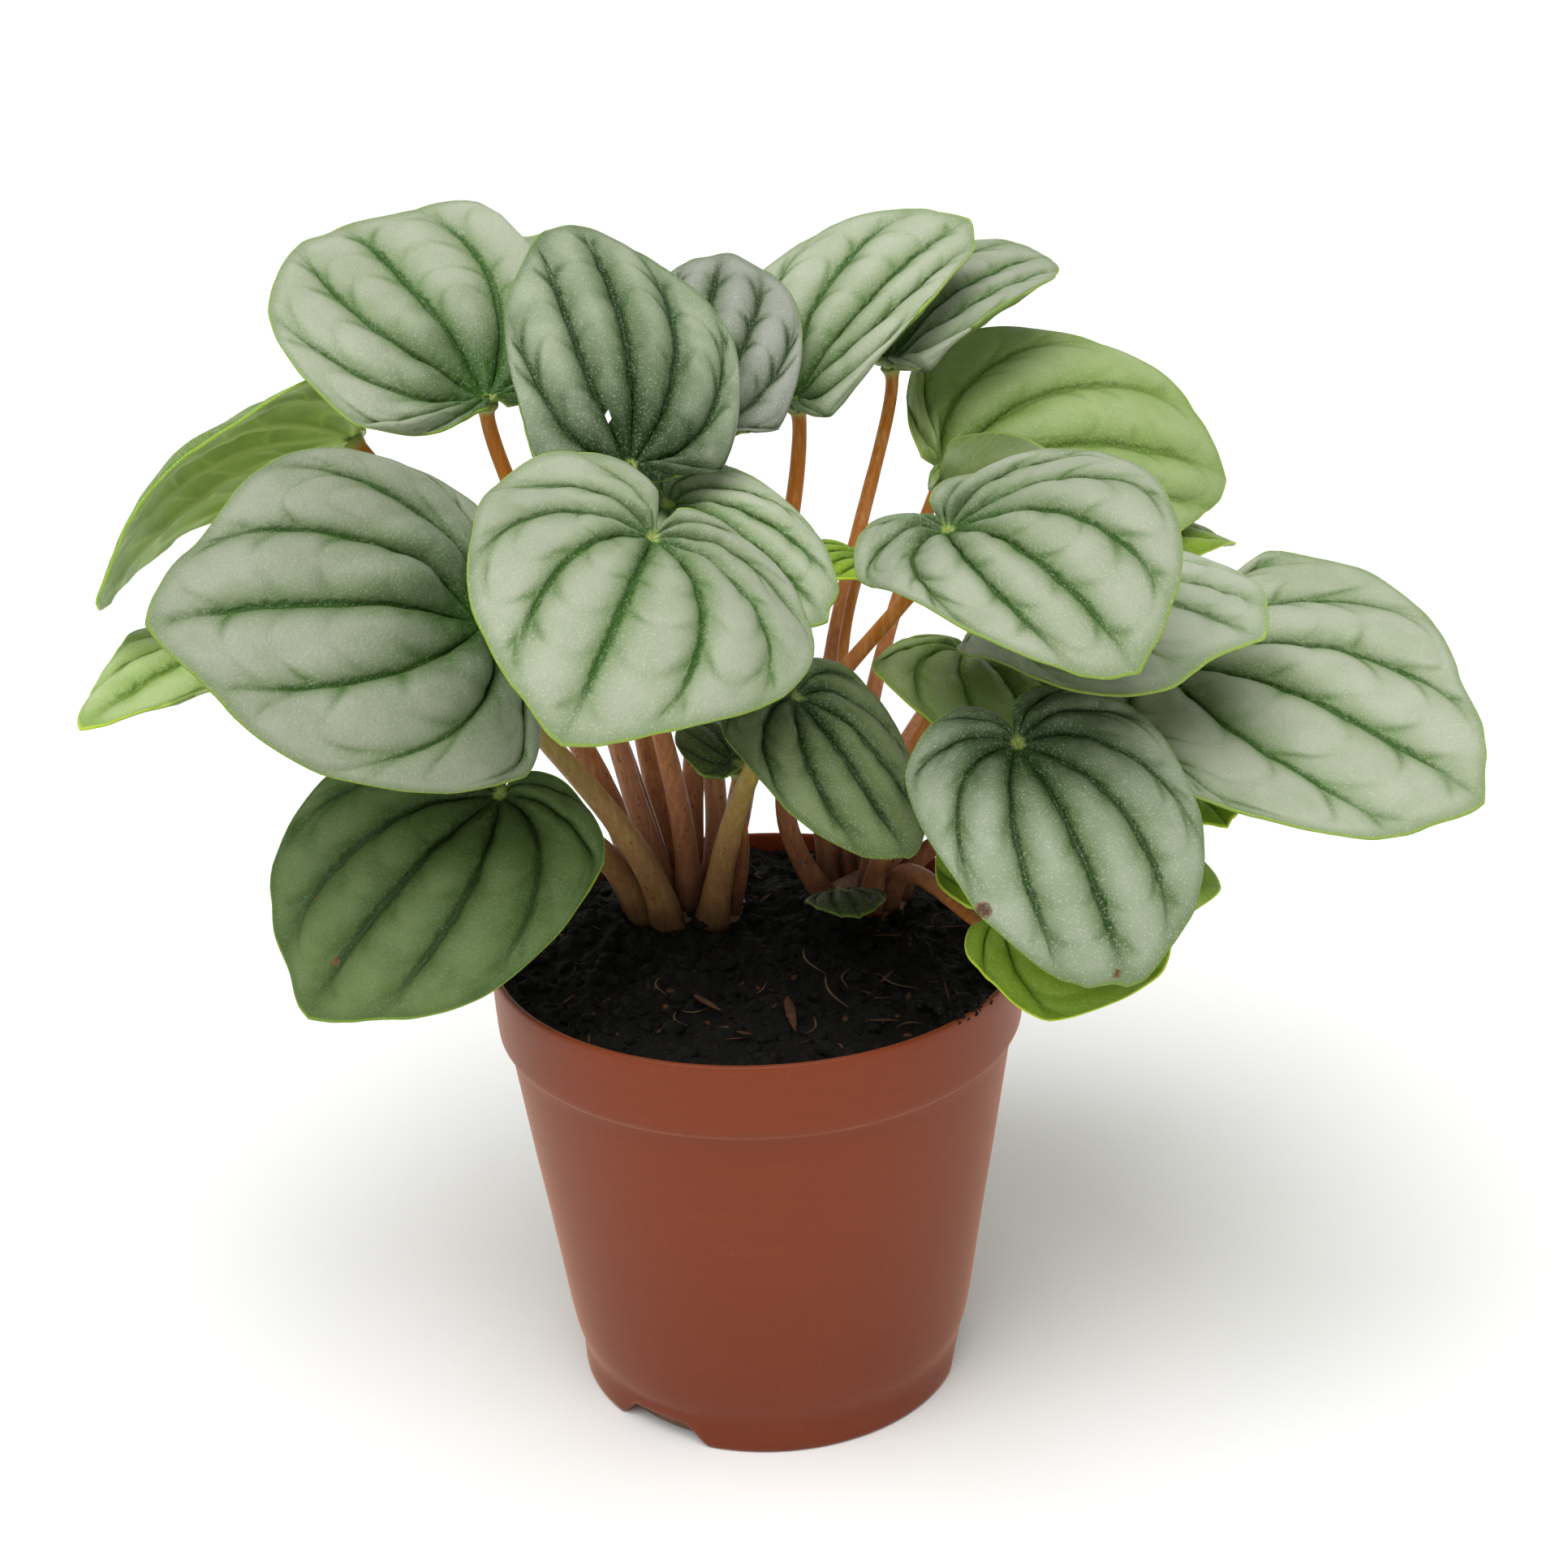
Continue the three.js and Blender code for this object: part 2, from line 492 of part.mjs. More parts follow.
for (const [name, leaf] of Object.entries(LEAVES)) {
  const [footRadius, topRadius] = stalkRadii(name, leaf);
  const top = name.startsWith('top') || leaf.crown === 'side';
  piece(`${name}_stalk`, outward(stalkGeometry(stalkCurve(leaf), footRadius, topRadius)), top ? STALK_RED : STALK_TAN, 0.55);
  piece(`${name}_blade`, outward(bladeGeometry(leaf)), LEAF_COLOURS[name] ?? SILVER_GREEN, 0.5);
}

export default plant;
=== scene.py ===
# %% [markdown]
# # A potted peperomia
#
# The plant is a small peperomia in a thin plastic nursery pot: round, heart-shaped blades with a
# silver bloom between deep green veins, each on its own reddish stalk, over dark peat. The frame
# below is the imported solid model. It has the right sizes and places, but its blades are coarse
# plates of one colour. This lesson replaces them, piece by piece, with finer surfaces that are
# worked out from the same named values, and gives each finish the detail of the real one.

# %% Load the frame
import bpy
import numpy as np
from mathutils import Matrix


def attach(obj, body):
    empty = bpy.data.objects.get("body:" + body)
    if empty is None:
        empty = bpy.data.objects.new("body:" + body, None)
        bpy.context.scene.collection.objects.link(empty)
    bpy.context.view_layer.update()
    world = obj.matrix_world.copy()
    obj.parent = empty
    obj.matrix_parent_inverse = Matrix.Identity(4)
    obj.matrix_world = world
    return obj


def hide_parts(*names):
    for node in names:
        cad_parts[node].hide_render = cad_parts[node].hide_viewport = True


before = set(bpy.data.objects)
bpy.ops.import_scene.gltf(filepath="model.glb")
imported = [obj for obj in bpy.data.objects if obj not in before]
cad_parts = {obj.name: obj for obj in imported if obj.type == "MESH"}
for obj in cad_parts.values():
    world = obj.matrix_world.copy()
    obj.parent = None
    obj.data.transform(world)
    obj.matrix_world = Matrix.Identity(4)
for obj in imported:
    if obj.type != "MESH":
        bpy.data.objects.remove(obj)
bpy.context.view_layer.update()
MM = 0.001
print("solid nodes:", len(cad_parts))

# %% [markdown]
# ## From arrays to meshes
#
# Every new piece is a grid of points that numpy works out at once. One helper puts such a grid into
# a mesh. It also stores named values at the points, such as how far a point is from a leaf's
# margin, so that a material can follow the leaf and not the room. Others number the faces of a
# grid or a closed tube. The shape helpers turn a profile about the upright axis and make soft
# steps and hills.

# %% Mesh helper
def add_piece(name, node, points, quads, tris, values, materials, face_slots=None):
    """A mesh piece from points in millimetres, standing for a solid node when one is named.
    quads and tris hold point numbers, values holds one number, or one per point, under each name."""
    points = np.reshape(points, (-1, 3))
    quads = np.reshape(quads, (-1, 4))
    tris = np.reshape(tris, (-1, 3))
    mesh = bpy.data.meshes.new(name)
    mesh.vertices.add(len(points))
    mesh.vertices.foreach_set("co", (points * MM).ravel())
    corners = np.concatenate([quads.ravel(), tris.ravel()])
    mesh.loops.add(len(corners))
    mesh.loops.foreach_set("vertex_index", corners)
    starts = np.concatenate([4 * np.arange(len(quads)), 4 * len(quads) + 3 * np.arange(len(tris))])
    mesh.polygons.add(len(starts))
    mesh.polygons.foreach_set("loop_start", starts)
    for material in materials:
        mesh.materials.append(material)
    if face_slots is not None:
        mesh.polygons.foreach_set("material_index", np.asarray(face_slots, np.int32))
    mesh.update(calc_edges=True)
    mesh.shade_smooth()
    for key, numbers in values.items():
        layer = mesh.attributes.new(key, "FLOAT", "POINT")
        layer.data.foreach_set("value", np.full(len(points), np.ravel(numbers), np.float32))
    piece = bpy.data.objects.new(name, mesh)
    bpy.context.scene.collection.objects.link(piece)
    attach(piece, "root")
    if node:
        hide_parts(node)
    return piece


def grid_quads(rows, columns, closed=False):
    """Point numbers of a grid's quads, where point (i, j) has number i * columns + j.
    A closed grid joins its last column to its first."""
    steps = np.arange(columns if closed else columns - 1)
    i, j = np.meshgrid(np.arange(rows - 1), steps, indexing="ij")
    k = (j + 1) % columns
    corners = [i * columns + j, i * columns + k, (i + 1) * columns + k, (i + 1) * columns + j]
    return np.stack(corners, -1).reshape(-1, 4)


def tube_faces(rows, sides, reverse=False):
    """Quads of a tube of rows rings, and the triangles that close it on two more points, the
    middles of its first and last ring. reverse turns all faces round."""
    count = rows * sides
    j = np.arange(sides)
    k = (j + 1) % sides
    quads = grid_quads(rows, sides, closed=True)
    last = count - sides
    tris = np.concatenate([np.stack([np.full(sides, count), k, j], -1),
                           np.stack([np.full(sides, count + 1), last + j, last + k], -1)])
    return (quads[:, ::-1], tris[:, ::-1]) if reverse else (quads, tris)


def add_tube(name, node, rings, middles, values, material, reverse=False):
    """A closed tube from its rings of points and the middles of the first and the last one.
    The middles come last among the points."""
    points = np.concatenate([rings.reshape(-1, 3), middles])
    faces = tube_faces(rings.shape[0], rings.shape[1], reverse)
    return add_piece(name, node, points, *faces, values, (material,))


# %% Shape helpers
def circle(sides):
    """So many angles, evenly round a circle."""
    return np.linspace(0, 2 * np.pi, sides, endpoint=False)


def polar(radius, angle, height):
    """Points at a radius, an angle about Z and a height: (r * cos, r * sin, height)."""
    return np.stack(np.broadcast_arrays(radius * np.cos(angle), radius * np.sin(angle), height), -1)


def turned(profile, turn):
    """A profile of radius and height, turned about Z."""
    radius, height = np.array(profile, float).T[..., None]
    return polar(radius, turn, height)


def ease(x, low, high):
    """0 below low, 1 above high, and s * s * (3 - 2 * s) between them."""
    s = np.clip((np.asarray(x, float) - low) / (high - low), 0, 1)
    return s * s * (3 - 2 * s)


def hills(x, y, cell, seed):
    """Soft random hills from -1 to 1: a random number at each corner of a square lattice,
    blended between the corners with the weight s * s * (3 - 2 * s)."""
    lattice = np.random.default_rng(seed).uniform(-1, 1, (64, 64))
    gx = np.asarray(x) / cell + 1000
    gy = np.asarray(y) / cell + 1000
    ix = np.floor(gx).astype(int)
    iy = np.floor(gy).astype(int)
    sx = ease(gx - ix, 0, 1)
    sy = ease(gy - iy, 0, 1)
    low = lattice[ix % 64, iy % 64] * (1 - sx) + lattice[(ix + 1) % 64, iy % 64] * sx
    high = lattice[ix % 64, (iy + 1) % 64] * (1 - sx) + lattice[(ix + 1) % 64, (iy + 1) % 64] * sx
    return low * (1 - sy) + high * sy


def unit(vectors):
    """The same directions with length 1."""
    return vectors / np.maximum(np.linalg.norm(vectors, axis=-1, keepdims=True), 1e-9)


# %% [markdown]
# ## Camera, floor and light
#
# The camera stands where the photograph was taken from: a little above the plant and 437 mm away
# through a longish lens. The floor is pale and plain. Far behind, it sweeps up into a round wall,
# as in a photo studio, so that it fills the picture from every side. One very soft lamp from above
# makes blades that lie flat bright and blades that hang down darker, and a white room fills the
# shadows.

# %% Camera
CAMERA_DISTANCE = 437
CAMERA_ELEVATION = np.radians(22.6)
CAMERA_ROLL = np.radians(-1.93)
CAMERA_TARGET = np.array([5.3, 0, 108.1])
LENS = 61
SENSOR_WIDTH = 36

look = np.array([0, np.cos(CAMERA_ELEVATION), -np.sin(CAMERA_ELEVATION)])
level = np.array([1.0, 0, 0])
upright = np.cross(level, look)
placing = np.eye(4)
placing[:3, 0] = np.cos(CAMERA_ROLL) * level + np.sin(CAMERA_ROLL) * upright
placing[:3, 1] = np.cos(CAMERA_ROLL) * upright - np.sin(CAMERA_ROLL) * level
placing[:3, 2] = -look
placing[:3, 3] = (CAMERA_TARGET - CAMERA_DISTANCE * look) * MM
camera = bpy.data.objects.new("camera", bpy.data.cameras.new("camera"))
camera.data.lens = LENS
camera.data.sensor_width = SENSOR_WIDTH
camera.data.clip_start = 0.01
bpy.context.scene.collection.objects.link(camera)
camera.matrix_world = Matrix(placing.tolist())
bpy.context.scene.camera = camera
print("camera at", np.round(placing[:3, 3], 3), "m")

# %% Floor
FLOOR_MIDDLE = 1500
FLOOR_RADIUS = 5000
SWEEP_RADIUS = 1200
WALL_HEIGHT = 2600
FLOOR_SIDES = 96

bow = np.linspace(0, np.pi / 2, 13)
sweep = np.stack([FLOOR_RADIUS + SWEEP_RADIUS * np.sin(bow), SWEEP_RADIUS * (1 - np.cos(bow))], -1)
floor_profile = [(FLOOR_MIDDLE, 0), *sweep.tolist(), (FLOOR_RADIUS + SWEEP_RADIUS, WALL_HEIGHT)]
floor_points = turned(floor_profile, circle(FLOOR_SIDES)).reshape(-1, 3) * MM
floor_faces = grid_quads(len(floor_profile), FLOOR_SIDES, closed=True)[:, ::-1].tolist()
floor_mesh = bpy.data.meshes.new("floor")
floor_mesh.from_pydata(floor_points.tolist(), [], [*floor_faces, list(range(FLOOR_SIDES))])
floor_mesh.shade_smooth()
floor = bpy.data.objects.new("floor", floor_mesh)
bpy.context.scene.collection.objects.link(floor)
floor_paint = bpy.data.materials.new("pale_floor")
floor_paint.use_nodes = True
floor_shader = floor_paint.node_tree.nodes["Principled BSDF"]
floor_shader.inputs["Base Color"].default_value = (0.92, 0.92, 0.91, 1)
floor_shader.inputs["Roughness"].default_value = 0.9
floor_mesh.materials.append(floor_paint)
print("floor to", FLOOR_RADIUS, "mm and wall to", WALL_HEIGHT, "mm")

# %% Light
LAMP_TILT = np.radians([20, -8, 0])
LAMP_WIDTH = np.radians(60)
LAMP_STRENGTH = 2.95
ROOM = 0.4

bpy.context.scene.view_settings.view_transform = "Standard"
lamp = bpy.data.objects.new("soft_lamp", bpy.data.lights.new("soft_lamp", "SUN"))
lamp.data.energy = LAMP_STRENGTH
lamp.data.angle = LAMP_WIDTH
lamp.rotation_euler = LAMP_TILT
bpy.context.scene.collection.objects.link(lamp)
room = bpy.data.worlds.new("white_room")
room.use_nodes = True
room.node_tree.nodes["Background"].inputs["Color"].default_value = (1, 1, 1, 1)
room.node_tree.nodes["Background"].inputs["Strength"].default_value = ROOM
bpy.context.scene.world = room
print("lamp", LAMP_STRENGTH, "room", ROOM)

# %% [markdown]
# ## Small tools for materials
#
# A material is a graph of nodes. Here the output of a node is held as a *field*: a number or a
# colour that varies over the surface. Fields can be added and multiplied like numbers, which adds
# the nodes for it, so that a formula can be written almost as it is said. Colours are given as
# they read in a picture, from 0 to 255.

# %% Fields
class Field:
    """A value over a surface: one output of a node. +, - and * each add a node."""

    def __init__(self, tree, socket):
        self.tree = tree
        self.socket = socket

    def __add__(self, other):
        return calc("ADD", self, other)

    def __sub__(self, other):
        return calc("SUBTRACT", self, other)

    def __mul__(self, other):
        return calc("MULTIPLY", self, other)


def put(socket, value):
    """Links a field to a socket, or sets it to a number or to a colour as a picture shows it.
    A colour's share of full is made linear: ((share + 0.055) / 1.055) ** 2.4, or share / 12.92."""
    if isinstance(value, Field):
        value.tree.links.new(value.socket, socket)
    elif isinstance(value, tuple):
        share = np.array(value) / 255
        linear = np.where(share <= 0.04045, share / 12.92, ((share + 0.055) / 1.055) ** 2.4)
        socket.default_value = (*linear.tolist(), 1.0)
    else:
        socket.default_value = value


def calc(operation, *terms):
    """One step of arithmetic on fields and numbers."""
    tree = next(term.tree for term in terms if isinstance(term, Field))
    node = tree.nodes.new("ShaderNodeMath")
    node.operation = operation
    for socket, term in zip(node.inputs, terms):
        put(socket, term)
    return Field(tree, node.outputs[0])


def step(value, low, high, start=0.0, end=1.0):
    """Smooth step: start below low, end above high."""
    node = value.tree.nodes.new("ShaderNodeMapRange")
    node.interpolation_type = "SMOOTHSTEP"
    terms = {"Value": value, "From Min": low, "From Max": high, "To Min": start, "To Max": end}
    for key, term in terms.items():
        put(node.inputs[key], term)
    return Field(value.tree, node.outputs[0])


def line(gap, thickness):
    """exp(-(gap / thickness)^2), a soft line."""
    scaled = calc("DIVIDE", calc("MAXIMUM", gap, 0), thickness)
    return calc("EXPONENT", scaled * scaled * -1)


def blend(amount, first, second):
    """Colour mix: first where amount is 0, second where it is 1."""
    node = amount.tree.nodes.new("ShaderNodeMix")
    node.data_type = "RGBA"
    put(node.inputs["Factor"], amount)
    put(node.inputs[6], first)
    put(node.inputs[7], second)
    return Field(amount.tree, node.outputs[2])


# %% Material helpers
def new_material(name):
    """A material with one Principled shader, and its node tree."""
    material = bpy.data.materials.new(name)
    material.use_nodes = True
    return material, material.node_tree


def stored(tree, name):
    """A value that the mesh holds at its points."""
    node = tree.nodes.new("ShaderNodeAttribute")
    node.attribute_name = name
    return Field(tree, node.outputs["Fac"])


def place(tree, stretch=(1, 1, 1)):
    """Object coordinates, scaled along each axis."""
    node = tree.nodes.new("ShaderNodeMapping")
    node.inputs["Scale"].default_value = stretch
    tree.links.new(tree.nodes.new("ShaderNodeTexCoord").outputs["Object"], node.inputs["Vector"])
    return Field(tree, node.outputs[0])


def grain(tree, size, detail, stretch=(1, 1, 1)):
    """Cloudy noise from 0 to 1 whose clouds are about size millimetres across."""
    node = tree.nodes.new("ShaderNodeTexNoise")
    node.inputs["Scale"].default_value = 1 / (size * MM)
    node.inputs["Detail"].default_value = detail
    put(node.inputs["Vector"], place(tree, stretch))
    return Field(tree, node.outputs["Fac"])


def toned(base):
    """The colour made brighter or darker by the leaf's tone_and_light: partly its own shade of green and
    partly painted light and shade.
    """
    node = base.tree.nodes.new("ShaderNodeHueSaturation")
    put(node.inputs["Value"], stored(base.tree, "tone_and_light"))
    put(node.inputs["Color"], base)
    return Field(base.tree, node.outputs[0])


def finish_with(base, roughness, height, depth, strength, gloss=0.5):
    """Links colour, roughness and a relief of so many millimetres to the shader."""
    shader = base.tree.nodes["Principled BSDF"]
    put(shader.inputs["Base Color"], base)
    put(shader.inputs["Roughness"], roughness)
    put(shader.inputs["Specular IOR Level"], gloss)
    node = base.tree.nodes.new("ShaderNodeBump")
    node.inputs["Distance"].default_value = depth * MM
    node.inputs["Strength"].default_value = strength
    put(node.inputs["Height"], height)
    put(shader.inputs["Normal"], Field(base.tree, node.outputs[0]))
    return shader


# %% [markdown]
# ## The leaf as a formula
#
# A leaf is drawn with two numbers. *rib* runs from 0 on the midrib to 5 on the left and -5 on the
# right, where the two back lobes meet, and passes a main vein at every whole number. *share* runs
# from 0 at the stalk to 1 at the margin. Each rib leaves the stalk in one direction and bends
# round to meet the margin in another, as the veins of the real leaf do.

# %% Leaf outline
STATION = np.array([0, 1, 2, 3, 4, 4.6, 5])
START = np.radians([0, 50, 94, 134, 161, 168, 170])
END = np.radians([0, 17, 44, 81, 128, 152, 170])
REACH = np.array([1.0, 0.945, 0.85, 0.66, 0.46, 0.375, 0.25])


def through(values, x):
    """Smooth curve through the values at the stations: cubic pieces whose slopes at the
    stations are those of the neighbours' parabola."""
    slopes = np.gradient(values, STATION)
    i = np.clip(np.searchsorted(STATION, x, side="right") - 1, 0, len(STATION) - 2)
    h = STATION[i + 1] - STATION[i]
    s = (x - STATION[i]) / h
    rise = (1 + 2 * s) * (1 - s) ** 2 * values[i] + s * s * (3 - 2 * s) * values[i + 1]
    return rise + s * (1 - s) ** 2 * h * slopes[i] + s * s * (s - 1) * h * slopes[i + 1]


halfway = float(np.degrees(through(END, np.array(2.5))))
print("margin direction at rib 2.5:", round(halfway, 1), "degrees")

# %% [markdown]
# The leaves are listed as in the solid model, in millimetres: where the stalk meets the blade, the
# blade's tip, how far the blade is rolled, how wide its halves are, how it arches and droops, how
# far its back lobes reach, where its stalk stands on which crown, and how bright and dark it is.
# The brightness is partly each leaf's own colour and partly painted light and shade: left_back is
# brightened as if light shone through it, and mid_right and soil_leaf are darkened as painted shade.
# Dents are places on the margin, given as rib, width in ribs and the share by which it is further
# out or in.

# %% Leaf table
# In each crown: x, y, height at CROWN_REACH from its middle, and radius.
CROWNS = {"main": (-12, 14, 80, 11.2), "side": (18, 15, 79, 9.2)}
CROWN_REACH = 10
CROWN_SLOPE = 0.6
LEAVES = {}


def leaf(name, look, at, tip, roll, left, right, arch, droop, lobe, crown, ring, azimuth,
         tone_and_light, gloom, **extra):
    """Notes one leaf. tone_and_light is how bright its finish is, partly its own colour and partly
    painted light and shade, and gloom how dark it is near the stalk, partly deep green and partly
    painted shade; extra may hold bend, rolled, bow, approach, dents, fold, spots or a hole."""
    at = np.array(at, float)
    tip = np.array(tip, float)
    LEAVES[name] = dict(look=look, at=at, tip=tip, length=np.linalg.norm(tip - at),
                        roll=np.radians(roll), left=left, right=right, arch=arch, droop=droop,
                        lobe=lobe, crown=crown, ring=ring, azimuth=np.radians(azimuth),
                        tone_and_light=tone_and_light, gloom=gloom, seed=len(LEAVES) + 1, **extra)


# In each row below, the number after the stalk's azimuth is tone_and_light: painted light raises it for
# left_back, painted shade lowers it for mid_right and soil_leaf.
leaf("front_centre", "silver", (-13, -22, 158), (-25, -61, 141), -28, 0.93, 0.82, 0.14, 0.12, 0.75,
     "main", 4.5, -85, 0.97, 0.3,
     dents=((1.5, 0.9, -0.05), (3, 0.7, 0.05), (4.7, 0.5, -0.2), (-4, 0.9, 0.2), (-4.8, 0.5, 0.25)))
leaf("front_left", "silver", (-40, -14, 143), (-86, -39, 153), -42, 0.84, 0.87, 0.08, 0.1, 0.4,
     "main", 9, -112, 0.8, 1.8, approach=0.22, dents=((-1.3, 0.8, -0.07),), fold=0.045,
     spots=((-1.12, 0.7, 0.4),))
leaf("lower_left", "mottled", (-40, -14, 114), (-69, -38, 88), -25, 0.78, 0.81, 0.1, 0.12, 0.5,
     "main", 9, -145, 0.95, 0.35, spots=((-0.07, 0.81, 0.65), (-0.9, 0.77, 0.45), (1.93, 0.38, 0.35)))
leaf("front_right", "misty", (41, -30, 126), (54, -60, 99), 10, 0.75, 0.7, 0.12, 0.1, 0.6,
     "side", 7, -78, 0.86, 0.9, spots=((-1.88, 0.955, 1.15), (-0.12, 0.96, 0.6)))
leaf("front_small", "shady", (8, -17, 130), (24, -36, 110), -4, 0.7, 0.76, 0.1, 0.1, 0.7,
     "main", 9, -60, 0.6, 0.6, bend=-0.1)
leaf("right_upper", "silver", (32, -10, 154), (57, -46, 143), 18, 0.85, 0.62, 0.14, -0.04, 0.65,
     "side", 7, -155, 0.93, 0.6, bow=(-12, 0, 0))
leaf("right_mid", "pale", (54, 14, 136), (81, -16, 136), 8, 0.66, 1.12, 0.03, -0.03, 0.2,
     "side", 4, 20, 1.04, 0.2, dents=((1, 0.9, -0.05), (-0.9, 0.6, -0.05), (-1.8, 0.7, 0.22)))
leaf("right_far", "silver", (70, 18, 121), (116, -20, 109), 14, 0.82, 0.9, 0.07, -0.1, 0.2,
     "side", 4, -25, 1, 0.4, dents=((1.4, 0.9, -0.08), (3.4, 0.8, 0.08)))
leaf("right_back", "light", (35, 45, 148), (86, 53, 142), 38, 0.86, 0.55, 0.14, 0.1, 0.3,
     "side", 7, 95, 0.86, 0.3, rolled=(-1, 1.5, 6.5), approach=0.2,
     dents=((-3.2, 1, 0.35), (-4.6, 0.8, -0.65)))
leaf("top_left", "silver", (-41, 24, 169), (-67, 53, 192.5), -8, 0.92, 1, 0.06, -0.1, 0.25,
     "main", 4.5, 170, 1, 1.2, approach=0.12,
     dents=((-1.5, 0.6, 0.1), (-1.87, 0.24, -0.15), (-2.6, 0.5, -0.06), (4.4, 0.25, 0.12),
            (4.72, 0.1, -0.12)))
leaf("top_front", "dusky", (-17, 4, 162), (-26, 36, 194), 12, 0.66, 0.68, 0.08, 0.1, 0.2,
     "main", 4.5, -140, 0.95, 1.35, bend=-0.04, bow=(-4, -3, 0),
     dents=((3.8, 1, -0.27), (-3.8, 1, -0.27)), hole=(0.82, 0.97, 0.19, 0.24))
leaf("top_mid_back", "violet", (-7, 28, 162), (-2, 54, 185), 0, 0.62, 0.74, 0.1, 0.1, 0.3,
     "main", 4.5, 80, 0.97, 0.3, dents=((-3.8, 1, -0.25), (3.8, 1, -0.25)))
leaf("top_right", "silver", (9, 42, 162), (41, 64, 188), 12, 0.7, 0.44, 0.05, -0.22, 0.2,
     "main", 9, 45, 1.05, 0.7, approach=0.1,
     dents=((-4.2, 1, -0.55), (-2.8, 0.9, -0.14), (4, 0.8, 0.12)))
leaf("top_right_back", "silver", (26, 52, 166), (58, 74, 178), 0, 0.84, 0.7, 0.1, -0.06, 0.25,
     "side", 7, 135, 0.88, 0.5, approach=0.12,
     dents=((-4.2, 1, -0.4), (-3, 0.8, -0.35), (-1.2, 0.6, -0.06), (-0.3, 0.6, -0.05), (1.2, 0.7, 0.1)))
leaf("left_back", "green", (-68, 42, 159), (-105, 8, 140), 40, 0.76, 0.76, 0.16, 0.1, 0.3,
     "main", 9, 150, 1.75, 0.4)
leaf("left_low", "light", (-78, 22, 124), (-106, -12, 126), -6, 0.76, 0.6, 0.12, 0.1, 0.5,
     "main", 9, -175, 1.05, 0.2,
     dents=((-3, 0.8, 0.29), (-2, 0.8, -0.13), (-1, 0.8, -0.06), (1, 0.8, -0.07), (2, 0.8, -0.37)))
leaf("mid_right", "light", (36, 7, 128), (47, -18, 115), -8, 0.74, 0.93, 0.12, 0.1, 0.4,
     "side", 4, -75, 0.8, 0.2)
leaf("low_right", "bright", (40, -26, 96), (77, -14, 93), 26, 0.9, 0.84, 0.1, 0.1, 0.7,
     "side", 7, -48, 1.2, 0.2, dents=((-1.3, 1, -0.26), (1, 0.6, -0.06)))
leaf("right_low_small", "bright", (65, 12, 104), (77, -9, 102), 0, 0.66, 0.66, 0.1, 0.1, 0.6,
     "side", 7, -5, 1.2, 0.2)
leaf("right_back_low", "bright", (68, 44, 136), (84, 62, 128), 6, 0.8, 0.8, 0.1, 0.1, 0.5,
     "side", 7, 45, 1, 0.3)
leaf("centre_back", "silver", (-12, 12, 153), (13, -9, 139), 15, 0.56, 0.8, 0.1, 0.1, 0.55,
     "main", 4.5, 0, 1.1, 0.2, dents=((3.6, 0.8, 0.15),))
leaf("young", "bright", (20, 28, 137), (11, 16, 138), -20, 0.6, 0.6, 0.1, -0.1, 0.3,
     "side", 4, 120, 1.4, 0.2)
leaf("dark_small", "green", (-2, -1, 112), (-10, 12, 115), 0, 0.7, 0.7, 0.1, 0.1, 0.3,
     "main", 9, -25, 0.72, 0.5)
leaf("soil_leaf", "green", (14, 0, 88), (17, -12, 89), 0, 0.8, 0.8, 0.1, 0.1, 0.3,
     "side", 7, -110, 0.5, 0.5)
leaf("back_centre", "silver", (-23, 46, 136), (-19, 88, 126), 0, 0.9, 0.9, 0.1, 0.1, 0.6,
     "main", 9, 110, 0.95, 0.5)
leaf("back_right", "silver", (44, 58, 124), (60, 91, 110), 0, 0.85, 0.85, 0.1, 0.1, 0.6,
     "side", 4, 70, 0.95, 0.5)

lengths = [float(one["length"]) for one in LEAVES.values()]
print(len(LEAVES), "leaves,", round(min(lengths)), "to", round(max(lengths)), "mm from stalk to tip")

# %% [markdown]
# The surface adds up what a real blade does: it arches along the midrib and droops at the sides,
# puffs up between the veins and is pressed in along them, and its margin waves.

# %% Leaf surface
MARGIN_HILLS = 0.016
MARGIN_RIPPLE = 0.005
PILLOW = 0.034
FOLD = 0.018
GROOVE_DEPTH = 0.5
GROOVE_WIDTH = 0.09
WAVE = 0.02
DIMPLE = 0.03
SWELLS = 0.014


def leaf_frame(one):
    """Axes of a blade: e to the tip, v to the left, n up through the face, turned by roll about e."""
    e = unit(one["tip"] - one["at"])
    side = unit(np.cross([0, 0, 1.0], e))
    up = np.cross(e, side)
    v = np.cos(one["roll"]) * side + np.sin(one["roll"]) * up
    n = np.cos(one["roll"]) * up - np.sin(one["roll"]) * side
    return e, v, n


